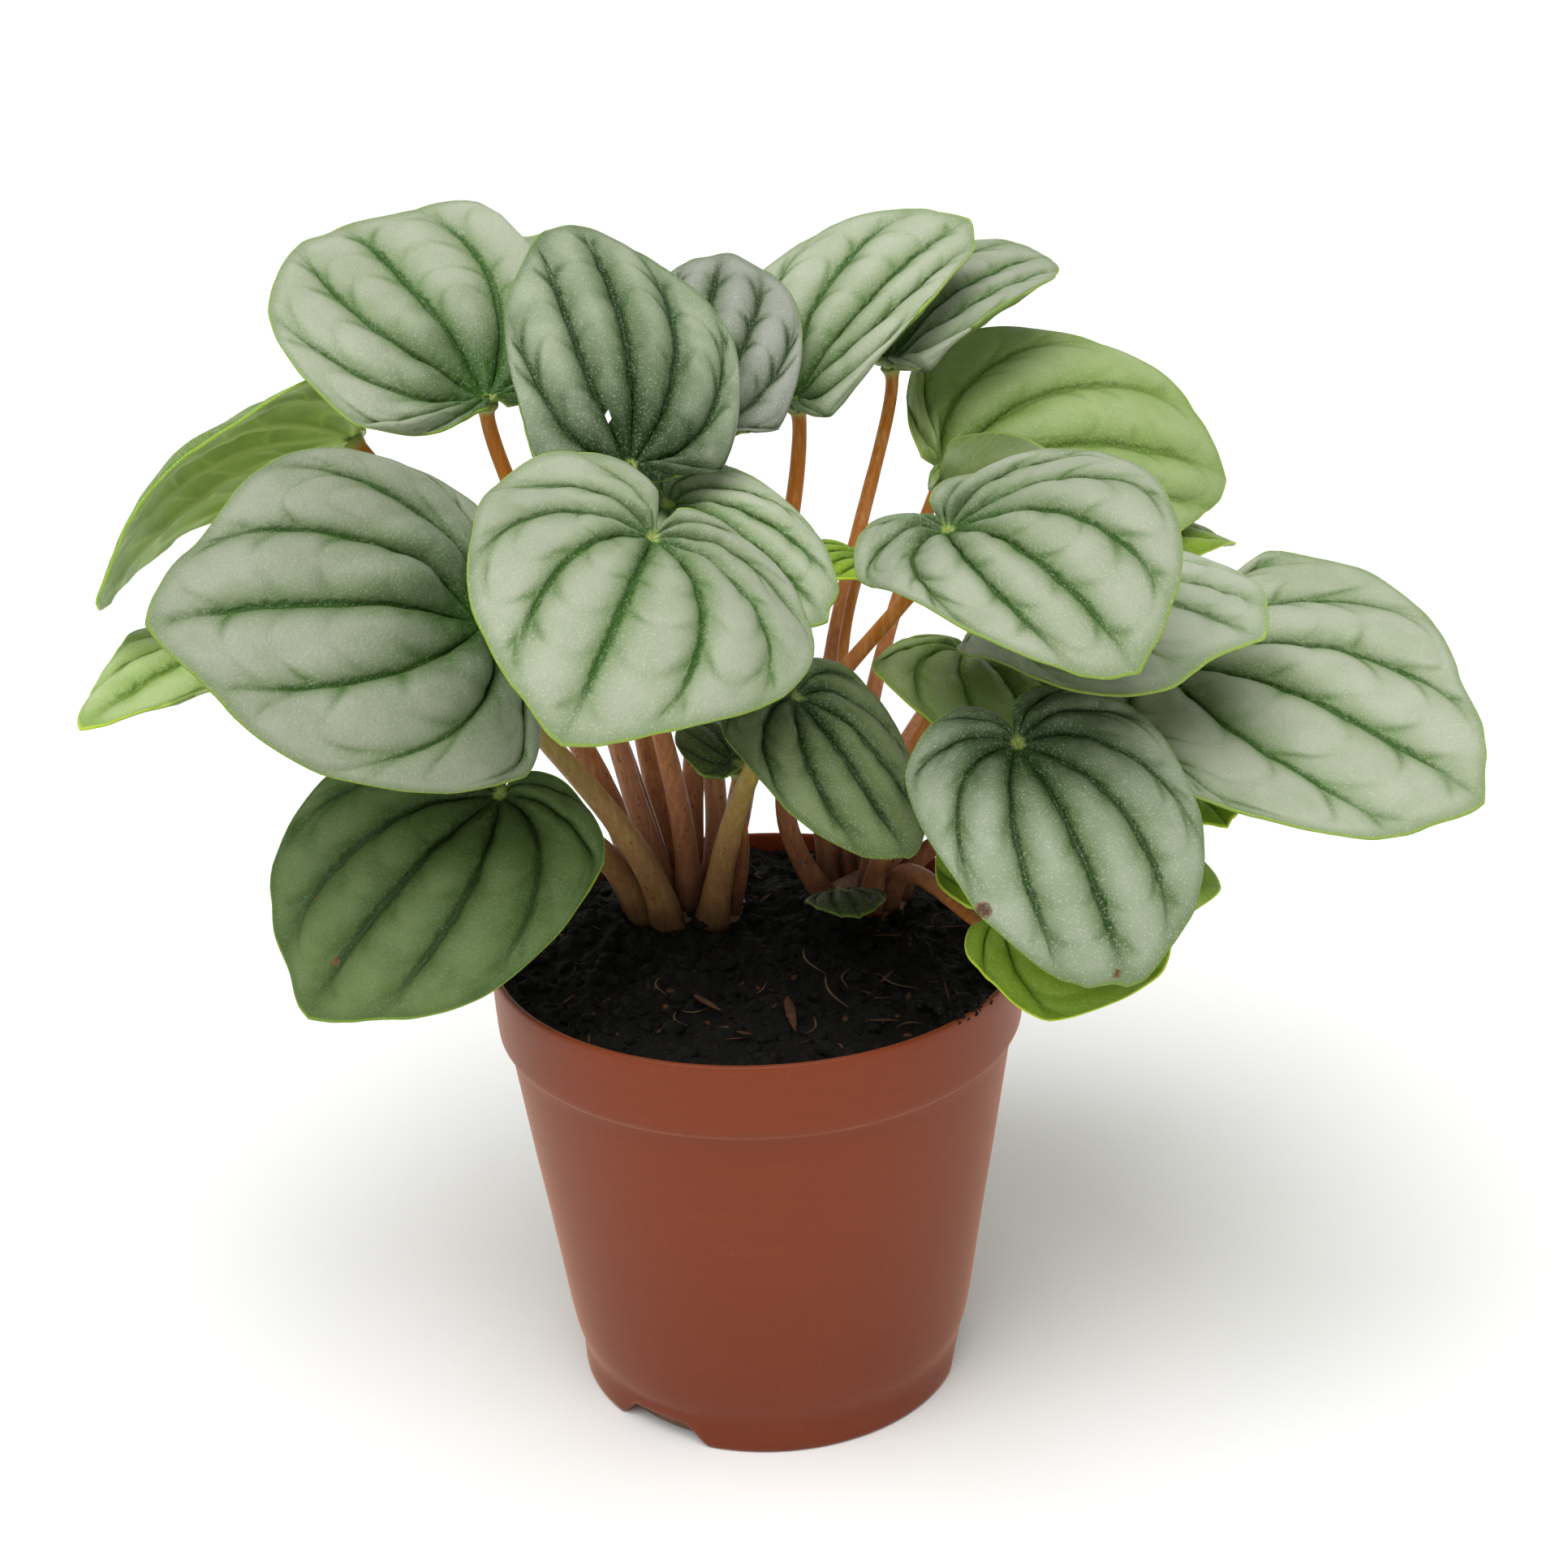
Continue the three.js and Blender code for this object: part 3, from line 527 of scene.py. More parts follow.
def leaf_surface(one, rib, share):
    """Points of the blade's middle surface. In the plane a point lies at distance
    reach * share from the stalk, in a direction that turns from START to END. Its height
    is a parabola along the midrib, less a droop with the square of the distance from it,
    plus a pillow between each two veins, folds near the stalk, a groove along each vein, a
    wave at the margin, a dimple at the stalk and soft random hills. Where a back lobe is
    rolled up, what lies past the start of the roll follows a circle of its radius."""
    length = one["length"]
    seed = one["seed"]
    k = np.abs(rib)
    side = np.where(rib < 0, -1, 1)
    end = through(END, k)
    angle = end + (through(START, k) - end) * (1 - share ** 1.1)
    angle = angle + np.radians(10) * np.clip(k - 4, 0, 1) * (1 - ease(share, 0.08, 0.3))
    reach = through(REACH, k) * share * length
    for centre, width, amount in one.get("dents", ()):
        reach = reach * (1 + amount * share ** 2 * np.exp(-((rib - centre) / width) ** 2))
    reach = reach * (1 + MARGIN_HILLS * share ** 3 * hills(rib + 20, share, 0.55, seed + 60))
    ripple = share ** 6 * hills(rib + 20, share, 0.21, seed + 61)
    reach = reach * (1 + MARGIN_RIPPLE * ease(k, 0.2, 0.8) * ripple)
    u = reach * np.cos(angle)
    v = side * reach * np.sin(angle) * np.where(rib < 0, one["right"], one["left"])
    u = np.where(u < 0, u * one["lobe"], u)
    x = u / length
    bend = one.get("bend", 0) * length * np.where(x > 0, 4 * x * (1 - x), x)
    half = 0.6 * length
    h = np.where(x < 0, -0.3 * length * x * x, 4 * one["arch"] * length * x * (1 - x))
    h = h - one["droop"] * half * (v / half) ** 2
    between = np.abs(np.sin(np.pi * rib)) ** 0.7
    uneven = 1 + 0.5 * hills(u, v, 13.0, seed + 3)
    pillow = between * np.sin(np.pi * np.clip(share, 0, 1) ** 0.8) ** 0.8 * uneven
    h = h + PILLOW * length * pillow * np.where(k > 4, 0.5, 1)
    fold = between * ease(share, 0.1, 0.26) * (1 - ease(share, 0.3, 0.52))
    fold = fold * (0.6 + hills(rib + 30, share * 4, 0.8, seed + 90))
    h = h + one.get("fold", FOLD) * length * fold
    groove = np.exp(-(np.abs(rib - np.round(rib)) / GROOVE_WIDTH) ** 2)
    h = h - GROOVE_DEPTH * groove * (1 - 0.6 * share) * ease(share, 0, 0.15)
    h = h + WAVE * length * np.sin(5 * side * end) * share ** 4 * np.minimum(k, 1)
    h = h - DIMPLE * length * np.exp(-(share / 0.25) ** 2)
    h = h + SWELLS * length * hills(u, v, 11.0, seed + 11) * ease(share, 0.3, 1.0)
    h = h + 0.14 * hills(u, v, 4.2, seed) + 0.06 * hills(u, v, 1.9, seed + 40)
    if "rolled" in one:
        which, start, radius = one["rolled"]
        past = np.maximum(np.abs(v) - start, 0) * (side == which)
        turn = np.maximum(past / radius * ease(k, 2.1, 3.4), 1e-6)
        v = v + which * past * (np.sin(turn) / turn - 1)
        h = h + past * (1 - np.cos(turn)) / turn
    e, left, n = leaf_frame(one)
    return one["at"] + u[..., None] * e + (v + bend)[..., None] * left + h[..., None] * n


hub_point = leaf_surface(LEAVES["front_centre"], np.zeros(1), np.zeros(1))[0]
print("front centre's stalk meets its blade at", np.round(hub_point, 1), "mm")

# %% [markdown]
# ## Blades
#
# A peperomia blade is fleshy, about three quarters of a millimetre thick, with a rounded margin.
# The grid is used twice, once pushed up and once down along its normals, and the push fades to
# nothing at the margin, so that the two faces meet there in a rounded edge and close the piece.
# The points keep what the veins are drawn from: rib, share, how many millimetres one rib is wide
# here, the distances to the margin, to the stalk and to brown spots, and a count of the side veins.
# A small hole, where a leaf has one, leaves out a block of the grid and walls it in.
#
# Side veins leave each main vein every few millimetres, bend towards the tip and meet those of the
# next main vein in low arches. A side vein runs where this count is a whole number and a half:
# (near - 1.5 * x * (1 - a)) / pitch + start, with near the distance from the stalk, x the distance
# from the main vein, a the same in ribs, and start a random number for each space between two main
# veins. The blade is pressed in along them and puffs up between them.

# %% Side veins
TWIG_RELIEF = 0.16


def off_vein(rib):
    """Distance in ribs from the nearest main vein; the outermost are at -4 and 4."""
    return np.abs(rib - np.clip(np.round(rib), -4, 4))


def side_vein_count(one, rib, share, across, near):
    """The count described above, with a slow random wander."""
    aside = off_vein(rib)
    start = np.random.default_rng(one["seed"]).random(11)[np.floor(rib).astype(int) + 5]
    wander = 0.4 * hills(rib + 50, share * 5, 1.1, one["seed"] + 80)
    return (near - 1.5 * aside * across * (1 - aside)) / one["pitch"] + start + wander


def side_vein_relief(one, count, rib, near, edge):
    """Height in millimetres: TWIG_RELIEF * (1 - exp(-gap^2) - exp(-(gap / 2.4)^2)), less
    towards the middle between two main veins, near the stalk and at the margin."""
    gap = np.abs(count % 1 - 0.5) * 0.75 * one["pitch"]
    weight = (1 - 0.5 * ease(off_vein(rib), 0, 0.5)) * ease(near, 4, 11) * ease(edge, 0.6, 4)
    return weight * TWIG_RELIEF * (1 - np.exp(-gap ** 2) - np.exp(-(gap / 2.4) ** 2))


# %% Blade mesh
BLADE_THICKNESS = 0.75
ROUNDED_MARGIN = 0.45
NO_SPOT = 9.0


def cut_hole(faces, lower, shares, ribs, hole):
    """Leaves out the grid's cells between two ribs and two shares, and gives the wall that joins
    the upper and the lower face round them."""
    rib_from, rib_to, share_from, share_to = hole
    i0, i1 = np.searchsorted(shares, (share_from, share_to))
    j0, j1 = np.searchsorted(ribs, (rib_from, rib_to))
    row, column = np.divmod(faces[:, 0], len(ribs))
    inside = (row >= i0) & (row < i1) & (column >= j0) & (column < j1)
    number = np.arange(len(shares) * len(ribs)).reshape(len(shares), len(ribs))
    loop = np.concatenate([number[i0, j0:j1], number[i0:i1, j1],
                           number[i1, j1:j0:-1], number[i1:i0:-1, j0]])
    ahead = np.roll(loop, -1)
    return faces[~inside], np.stack([loop, ahead, lower[ahead], lower[loop]], -1)


def blade(name, one):
    """One closed blade. Rows of points follow share and columns follow rib."""
    length = one["length"]
    columns = int(np.interp(length, [15, 60], [7, 16]))
    rows = int(np.interp(length, [15, 60], [18, 58]))
    one["pitch"] = float(np.clip(0.165 * length, 4.5, 9.0))
    ribs = np.linspace(-5, 5, 10 * columns + 1)
    ribs = np.concatenate([[-5, -4.985, -4.965], ribs[1:-1], [4.965, 4.985, 5]])
    shares = np.concatenate([np.linspace(0.03, 0.972, rows), [0.986, 0.995, 1.0]])
    share, rib = np.meshgrid(shares, ribs, indexing="ij")
    middle = leaf_surface(one, rib, share)
    across = np.gradient(middle, ribs, axis=1)
    along = np.gradient(middle, shares, axis=0)
    normal = unit(np.cross(along, across))
    across = np.linalg.norm(across, axis=-1)
    edge = np.minimum((5 - np.abs(rib)) * across, (1 - share) * np.linalg.norm(along, axis=-1))
    near = np.linalg.norm(middle - one["at"], axis=-1)
    shade = np.clip(0.5 + 0.5 * hills(rib + 40, share * 3, 1.0, one["seed"] + 70), 0, 1)
    count = side_vein_count(one, rib, share, across, near)
    middle = middle + normal * side_vein_relief(one, count, rib, near, edge)[..., None]
    spot = np.full(rib.shape, NO_SPOT)
    for spot_rib, spot_share, spot_radius in one.get("spots", ()):
        centre = leaf_surface(one, np.array([spot_rib]), np.array([spot_share]))[0]
        spot = np.minimum(spot, np.linalg.norm(middle - centre, axis=-1) - spot_radius)
    curve = np.clip(edge / ROUNDED_MARGIN, 0, 1)
    half = BLADE_THICKNESS / 2 * np.sqrt(1 - (1 - curve) ** 2) * (1 - 0.3 * share ** 3)
    push = (normal * half[..., None]).reshape(-1, 3)
    middle = middle.reshape(-1, 3)
    centre = leaf_surface(one, np.zeros(1), np.zeros(1))
    lift = BLADE_THICKNESS / 2 * leaf_frame(one)[2]
    points = np.concatenate([middle + push, middle - push, centre + lift, centre - lift])
    size = rib.size
    hub = 2 * size
    lower = np.where((half < 1e-9).ravel(), np.arange(size), size + np.arange(size))
    faces = grid_quads(len(shares), len(ribs))
    wall = np.zeros((0, 4), int)
    if "hole" in one:
        faces, wall = cut_hole(faces, lower, shares, ribs, one["hole"])
    quads = np.concatenate([faces[:, ::-1], lower[faces], wall])
    first = np.arange(len(ribs) - 1)
    fan = np.stack([np.full_like(first, hub), first, first + 1], -1)
    fan_under = np.stack([np.full_like(first, hub + 1), lower[first + 1], lower[first]], -1)
    slit = [[0, hub, hub + 1], [hub, len(ribs) - 1, hub + 1]]
    used = np.zeros(len(points), bool)
    used[quads.ravel()] = True
    used[hub:] = True
    renumber = np.cumsum(used) - 1
    fields = {"rib": (rib, 0.0), "share": (share, 0.0), "across": (across, 0.3), "edge": (edge, 5.0),
              "near": (near, 0.0), "shade": (shade, 0.5), "count": (count, 0.0), "spot": (spot, NO_SPOT)}
    values = {key: np.concatenate([field.ravel(), field.ravel(), [at_hub, at_hub]])[used]
              for key, (field, at_hub) in fields.items()}
    values.update({key: one[key] for key in ("tone_and_light", "gloom", "pitch")})
    slots = np.repeat([0, 1, 0, 1], [len(faces), len(faces) + len(wall), len(fan), len(fan) + 2])
    return add_piece(f"leaf_{name}", f"{name}_blade", points[used], renumber[quads],
                     renumber[np.concatenate([fan, fan_under, slit])], values,
                     (LOOKS[one["look"]], OLIVE if "rolled" in one else UNDER), slots)


# %% [markdown]
# ## The leaf's colours
#
# The bloom is silver where the blade bulges and gives way to deep green along the veins, with a
# feathered border, and near the stalk, where the veins crowd and where painted shade darkens the
# dimple round the stalk. Each side vein starts as a wide soft wedge at its main vein and thins out.
# A thin yellow-green line follows the margin, pale lines run out from the stalk, and a pale dot
# marks it. Brown spots are old bruises, and tiny white glints are painted highlights.

# %% Leaf material
VEIN_CORE = (120, 154, 78)
STALK_DOT = (158, 176, 92)
SPOT_RING = (112, 84, 44)
SPOT_BROWN = (76, 50, 34)
GLINT = (206, 216, 200)


def vein_distance(tree):
    """Main vein's number at this point, and the distance to it in ribs and in millimetres."""
    rib = stored(tree, "rib")
    main_rib = calc("MAXIMUM", calc("MINIMUM", calc("ROUND", rib), 4), -4)
    aside = calc("ABSOLUTE", rib - main_rib)
    return main_rib, aside, aside * stored(tree, "across")


def side_vein_gap(tree):
    """Distance in millimetres to the nearest side vein."""
    off = calc("ABSOLUTE", calc("FRACT", stored(tree, "count")) - 0.5)
    return off * (stored(tree, "pitch") * 0.75)


def leaf_material(name, silver, green, deep, rim, width, bloom, light, twigs, glint_amount):
    """Upper face. silver, green, deep and rim are colours, width is the veins' width in
    millimetres, bloom is how much silver there is, light below 1 lessens the contrast of all
    veins, twigs is how dark the side veins are and glint_amount how bright the painted glints are."""
    material, tree = new_material(name)
    share = stored(tree, "share")
    edge = stored(tree, "edge")
    near = stored(tree, "near")
    gloom = stored(tree, "gloom")
    main_rib, aside, distance = vein_distance(tree)
    feather = (grain(tree, 1.3, 3.0) - 0.5) * (0.9 * width)
    taper = share * (-0.5 * width) + 0.92 * width
    strong = (calc("ABSOLUTE", main_rib) * -0.12 + 1.0) * step(share, 0.72, 1.0, 1.0, 0.1)
    main_vein = line(distance + feather, taper) * strong
    halo = line(distance, taper * 2.7) * strong
    faint = step(aside, 0.0, 0.5, 1.0, 0.12) * step(grain(tree, 9.0, 0.0), 0.36, 0.6, 0.45, 1.0)
    faint = faint * step(near, 6.0, 12.0) * step(edge, 0.8, 5.0)
    gap = side_vein_gap(tree)
    side_vein = line(feather * 0.2 + gap, aside * (-0.5 * width) + 0.5 * width) * faint
    side_halo = line(gap, calc("MAXIMUM", aside * -4.0 + 1.7, 0.6)) * faint
    hollow = step(aside, 0.0, 0.42, 0.45, 0.0)
    patches = step(grain(tree, 7.0, 3.0), 0.38, 0.66, 0.0, 0.45)
    base = blend((patches + hollow + stored(tree, "shade") * 0.4) * (1.35 - bloom), silver, green)
    base = blend(halo * (0.85 * light), base, green)
    base = blend(side_halo * (0.65 * light), base, green)
    base = blend(step(edge, 0.3, 3.5, 0.5, 0.0), base, green)
    # Deep green where the veins crowd round the stalk, and painted shade in the dimple there; gloom
    # above 1, as on front_left, widens it.
    crowd_and_shade = line(near, gloom * 6.0 + 6.5) * (grain(tree, 3.5, 2.0) * 1.1 + 0.4)
    base = blend(crowd_and_shade * calc("MINIMUM", gloom, 1.0), base, deep)
    ink = calc("MAXIMUM", main_vein, side_vein * twigs)
    fine = grain(tree, 0.45, 1.0) * 0.5 + 0.75
    base = blend(step(ink * fine, 0.03, 0.9, 0.0, min(light, 1.0)), base, deep)
    base = blend(line(distance, 0.2) * step(near, 3.0, 11.0, 0.8, 0.0), base, VEIN_CORE)
    base = blend(step(edge, 0.3, 0.75, 0.85, 0.0), base, rim)
    base = blend(step(near, 0.9, 1.7, 0.92, 0.0), base, STALK_DOT)
    spot = grain(tree, 0.6, 1.0) * 0.3 + (stored(tree, "spot") - 0.15)
    base = blend(step(spot, 0.0, 0.35, 0.9, 0.0), base, SPOT_RING)
    base = blend(step(spot, -0.3, 0.05, 0.95, 0.0), base, SPOT_BROWN)
    # Painted highlights: tiny white glints scattered over the blade.
    base = blend(step(grain(tree, 0.3, 0.0), 0.6, 0.76, 0.0, glint_amount), base, GLINT)
    height = calc("MAXIMUM", ink, side_halo * 0.5) * -1.0 + grain(tree, 0.6, 2.0) * 0.3
    finish_with(toned(base), grain(tree, 0.5, 1.0) * 0.25 + 0.38, height, 0.7, 0.7, 0.22)
    return material


def under_material(name, pale, patch, vein):
    """Lower face: matt and green, with lighter veins that stand out a little."""
    material, tree = new_material(name)
    distance = vein_distance(tree)[2]
    ridge = step(distance, 0.2, 1.0, 1.0, 0.0) * step(stored(tree, "share"), 0.3, 1.0, 1.0, 0.1)
    twig = line(side_vein_gap(tree), 0.5) * 0.35
    base = blend(step(grain(tree, 7.0, 3.0), 0.3, 0.7, 0.0, 0.8), pale, patch)
    base = blend(calc("MAXIMUM", ridge * 0.6, twig), base, vein)
    base = blend(step(stored(tree, "edge"), 0.3, 0.9, 0.75, 0.0), base, (140, 164, 62))
    finish_with(toned(base), 0.5, ridge + grain(tree, 0.8, 2.0), 0.25, 0.4)
    return material


# In each row: silver, green, deep, rim, and then width, bloom, light, twigs and glint_amount.
FINISHES = {
    "misty": ((160, 171, 145), (82, 108, 54), (40, 68, 20), (118, 146, 54), 1.8, 0.85, 1.0, 0.35, 0.26),
    "shady": ((154, 171, 120), (79, 108, 45), (39, 68, 17), (118, 146, 54), 1.8, 0.85, 1.0, 0.35, 0.26),
    "pale": ((170, 176, 156), (110, 134, 84), (70, 104, 48), (138, 166, 54), 1.3, 1.0, 0.6, 0.2, 0.2),
    "mottled": ((103, 123, 72), (62, 86, 34), (36, 59, 18), (118, 148, 34), 1.9, 0.55, 0.85, 0.3, 0.07),
    "silver": ((168, 174, 152), (94, 122, 60), (48, 86, 20), (138, 166, 54), 1.6, 1.0, 1.0, 0.5, 0.2),
    "dusky": ((160, 171, 143), (60, 90, 32), (24, 54, 6), (112, 146, 38), 2.1, 0.88, 1.05, 0.6, 0.2),
    "green": ((92, 110, 54), (68, 90, 32), (38, 60, 14), (112, 142, 34), 1.5, 0.7, 0.75, 0.4, 0.2),
    "bright": ((124, 150, 44), (96, 126, 24), (70, 104, 16), (168, 188, 40), 1.4, 0.7, 0.6, 0.4, 0.1),
    "light": ((164, 181, 124), (114, 146, 54), (90, 120, 30), (170, 194, 44), 2.2, 0.8, 0.7, 0.4, 0.2),
    "violet": ((154, 157, 146), (88, 104, 70), (40, 60, 24), (118, 142, 62), 1.7, 1.0, 1.0, 0.8, 0.2),
}
LOOKS = {name: leaf_material(f"leaf_{name}", *row) for name, row in FINISHES.items()}
UNDER = under_material("leaf_underside", (118, 144, 62), (92, 120, 42), (152, 174, 94))
OLIVE = under_material("leaf_olive_underside", (100, 120, 60), (88, 110, 44), (122, 140, 74))
print(len(LOOKS), "upper finishes and two for the undersides")

# %% Make the blades
blades = [blade(name, one).data for name, one in LEAVES.items()]
triangles = sum(len(mesh.loops) - 2 * len(mesh.polygons) for mesh in blades)
print(triangles, "triangles in", len(blades), "blades")

# %% [markdown]
# ## Stalks
#
# A stalk is round and fleshy, thicker where it leaves the crown, where it is pinkish tan with
# brown streaks, and it turns to a red-brown or an olive green higher up. It is a circle carried
# along a curve that rises from the crown and comes to the blade from below. At the top it flares
# into a pale collar.

# %% Stalk material
def stalk_material(name, low, high, streak):
    """Colour runs from low at the foot to high under the blade, with streaks along the stalk,
    dots, a pale collar, and painted shade that darkens the stalk towards the soil, most at the foot."""
    material, tree = new_material(name)
    along = stored(tree, "along")
    to_soil = stored(tree, "to_soil")
    base = blend(step(along, 0.25, 0.9), low, high)
    base = blend(step(grain(tree, 0.9, 3.0, (1, 1, 0.12)), 0.42, 0.72, 0.0, 0.55), base, streak)
    dots = step(grain(tree, 0.5, 1.0, (1, 1, 0.5)), 0.62, 0.74)
    base = blend(dots * step(along, 0.2, 0.7, 0.75, 0.15), base, (98, 44, 28))
    base = blend(step(stored(tree, "to_blade"), 0.5, 2.6, 0.9, 0.0), base, (160, 172, 104))
    # Painted shade under the leaves: darker towards the soil, and darker still at the foot.
    base = blend(step(to_soil, 4.0, 26.0, 0.5, 0.0), base, (92, 50, 36))
    base = blend(step(to_soil, 0.5, 6.0, 0.6, 0.0), base, (50, 32, 22))
    finish_with(base, 0.42, grain(tree, 0.7, 3.0, (1, 1, 0.15)), 0.2, 0.4, 0.25)
    return material


STALK_RED = stalk_material("stalk_red", (164, 108, 78), (176, 104, 22), (204, 148, 84))
STALK_TAN = stalk_material("stalk_tan", (158, 118, 74), (150, 138, 62), (184, 158, 92))
TAN_STALKS = ("front_left", "lower_left", "left_low", "front_small")

# %% Stalk mesh
STALK_SIDES = 18
STALK_STEPS = 46
SUNK = 2.5
THIN_STALKS = ("young", "dark_small", "soil_leaf")


def stalk_radii(name, one):
    """Radius at the foot and under the blade, in millimetres."""
    if name in THIN_STALKS:
        return 1.1, 0.9
    if one["crown"] == "side":
        return (1.9, 1.1) if one["ring"] > 5 else (1.6, 1.1)
    return (2.55, 1.25) if one["ring"] > 5 else (2.15, 1.25)


def stalk_path(one):
    """Points and directions of a cubic curve: up and out from the crown, then along the
    blade's own normal from below. The first point is sunk into the crown."""
    x, y, z = CROWNS[one["crown"]][:3]
    outward = np.array([np.cos(one["azimuth"]), np.sin(one["azimuth"]), 0])
    foot = np.array([x, y, z + (CROWN_REACH - one["ring"]) * CROWN_SLOPE + 1.5]) + one["ring"] * outward
    normal = leaf_frame(one)[2]
    top = leaf_surface(one, np.zeros(1), np.zeros(1))[0] - 0.35 * normal
    reach = np.linalg.norm(one["at"] - foot)
    rise = unit(0.35 * one["ring"] / 9 * outward + np.array([0, 0, 1.0]))
    bow = np.array(one.get("bow", (0, 0, 0)), float)
    approach = one.get("approach", 0.3) * reach
    corners = np.array([foot, foot + 0.4 * reach * rise + bow, top - approach * normal + bow, top])
    t = np.linspace(0, 1, STALK_STEPS)[:, None]
    weights = np.hstack([(1 - t) ** 3, 3 * (1 - t) ** 2 * t, 3 * (1 - t) * t ** 2, t ** 3])
    slopes = np.hstack([-(1 - t) ** 2, (1 - t) ** 2 - 2 * t * (1 - t), 2 * t * (1 - t) - t ** 2, t ** 2])
    path = np.vstack([foot - SUNK * rise, weights @ corners])
    return path, unit(np.vstack([rise, slopes @ corners]))


def stalk(name, one):
    """A tapered tube: a slightly fluted circle carried along the path, closed at both ends."""
    path, ahead = stalk_path(one)
    foot_radius, top_radius = stalk_radii(name, one)
    run = np.concatenate([[0], np.cumsum(np.linalg.norm(np.diff(path, axis=0), axis=1))])
    total = run[-1]
    share = np.clip((run - SUNK) / (total - SUNK), 0, 1)
    radius = top_radius + (foot_radius - top_radius) * (1 - share) ** 1.3
    radius = radius * (1 + 0.2 * np.exp(-(run / 6) ** 2)) + 0.75 * np.exp(-((total - run) / 1.3) ** 2)
    flat = unit(np.cross(path[-1] - path[0], [0.0, 0, 1]) + np.array([1e-3, 1e-3, 0]))
    one_side = unit(np.cross(ahead, flat))
    other = np.cross(ahead, one_side)
    turn = circle(STALK_SIDES)
    seed = one["seed"]
    uneven = hills(run[:, None] * np.ones(STALK_SIDES), 3 * np.cos(turn) + seed * 5, 3.0, seed)
    ripple = 1 + 0.04 * np.cos(3 * turn + seed) + 0.03 * uneven
    ring = one_side[:, None] * np.cos(turn)[:, None] + other[:, None] * np.sin(turn)[:, None]
    rings = path[:, None] + ring * (radius[:, None] * ripple)[..., None]
    fields = {"along": (share, [0, 1]), "to_blade": (total - run, [total, 0]),
              "to_soil": (run - SUNK, [0, total])}
    values = {key: [*np.repeat(body, STALK_SIDES), *at_ends] for key, (body, at_ends) in fields.items()}
    material = STALK_TAN if name in TAN_STALKS else STALK_RED
    add_tube(f"stalk_{name}", f"{name}_stalk", rings, path[[0, -1]], values, material)


for name, one in LEAVES.items():
    stalk(name, one)
print("stalks made")

# %% [markdown]
# ## Crowns
#
# The stalks grow out of two short stems that are hidden under a bunch of fleshy leaf bases. Each
# crown is a low dome on a round grid, with lumps and a rough brown skin.

# %% Crowns
CROWN_SIDES = 90
CROWN_FOOT = 6.5


def crown_material():
    """Brown, fleshy and a little dirty."""
    material, tree = new_material("crown_skin")
    base = blend(step(grain(tree, 2.5, 4.0), 0.35, 0.65), (120, 84, 58), (84, 52, 36))
    base = blend(step(grain(tree, 0.8, 3.0), 0.5, 0.7, 0.0, 0.7), base, (30, 22, 16))
    finish_with(base, 0.6, grain(tree, 1.0, 4.0), 0.5, 0.8)
    return material


CROWN_SKIN = crown_material()


def crown(name, x, y, z, radius):
    """A dome: height falls by CROWN_SLOPE for each millimetre outwards, with lumps, down to a
    flat foot."""
    ring, angle = np.meshgrid(np.linspace(0.02, 1, 30), circle(CROWN_SIDES), indexing="ij")
    px = ring * radius * np.cos(angle)
    py = ring * radius * np.sin(angle)
    height = z + 0.3 + (CROWN_REACH - ring * radius) * CROWN_SLOPE + 0.5 * hills(px, py, 2.6, 7)
    height = height + 0.3 * np.cos(7 * angle) * ring - 1.5 * ease(ring, 0.85, 1)
    foot = polar(radius, angle[-1:], z - CROWN_FOOT)
    rings = np.concatenate([np.stack([px, py, height], -1), foot]) + (x, y, 0)
    middles = [[x, y, height[0].mean()], [x, y, z - CROWN_FOOT]]
    add_tube(f"leaf_bases_{name}", f"crown_{name}", rings, middles, {}, CROWN_SKIN, reverse=True)


for name, values in CROWNS.items():
    crown(name, *values)
print("crowns made")

# %% [markdown]
# ## Pot
#
# The pot is thin brown plastic, turned about its axis: a foot, a leaning wall, a faint step and a
# band under the rim. Three arched notches in the foot let water out. The profile is carried round
# in one grid, and the notches are pushed up into its foot.

# %% Pot surface
OUTSIDE = [(0, 0), (14, 0), (24, 0), (26.6, 0), (27.2, 0), (27.8, 0), (28.4, 0), (29, 0), (30, 0),
           (31, 0), (32, 0), (32.7, 0), (33.1, 0.1), (33.4, 0.45), (33.5, 1), (33.55, 2), (33.6, 3),
           (33.62, 4), (33.68, 5.2), (33.8, 6.2), (33.98, 7.1), (34.22, 8), (34.5, 8.9), (34.76, 9.9),
           (35, 11), (35.6, 14.5), (36.9, 24), (38.3, 34), (39.8, 44), (41.2, 54), (42.6, 64),
           (42.9, 65.9), (43.1, 66.3), (43.6, 66.7), (44.1, 67.1), (44.35, 67.6), (44.45, 68.6),
           (44.65, 72), (44.85, 77), (44.95, 79.2), (44.85, 79.7), (44.6, 79.95)]
INSIDE = [(44.2, 80), (43.95, 79.8), (43.85, 79.3), (43.75, 77), (43.5, 72), (43.3, 67.8), (42.9, 66.9),
          (41.9, 66), (38.6, 44), (35.7, 24), (33.7, 10), (32.8, 8), (31.9, 6.4), (30, 5.8),
          (15, 5.8), (0, 5.8)]
POT_SIDES = 420
FOOT_RADIUS = 33
NOTCH_TURNS = np.radians([-126, -6, 114])
NOTCH_HALF_WIDTH = 8.25
NOTCH_HEIGHT = 4.0


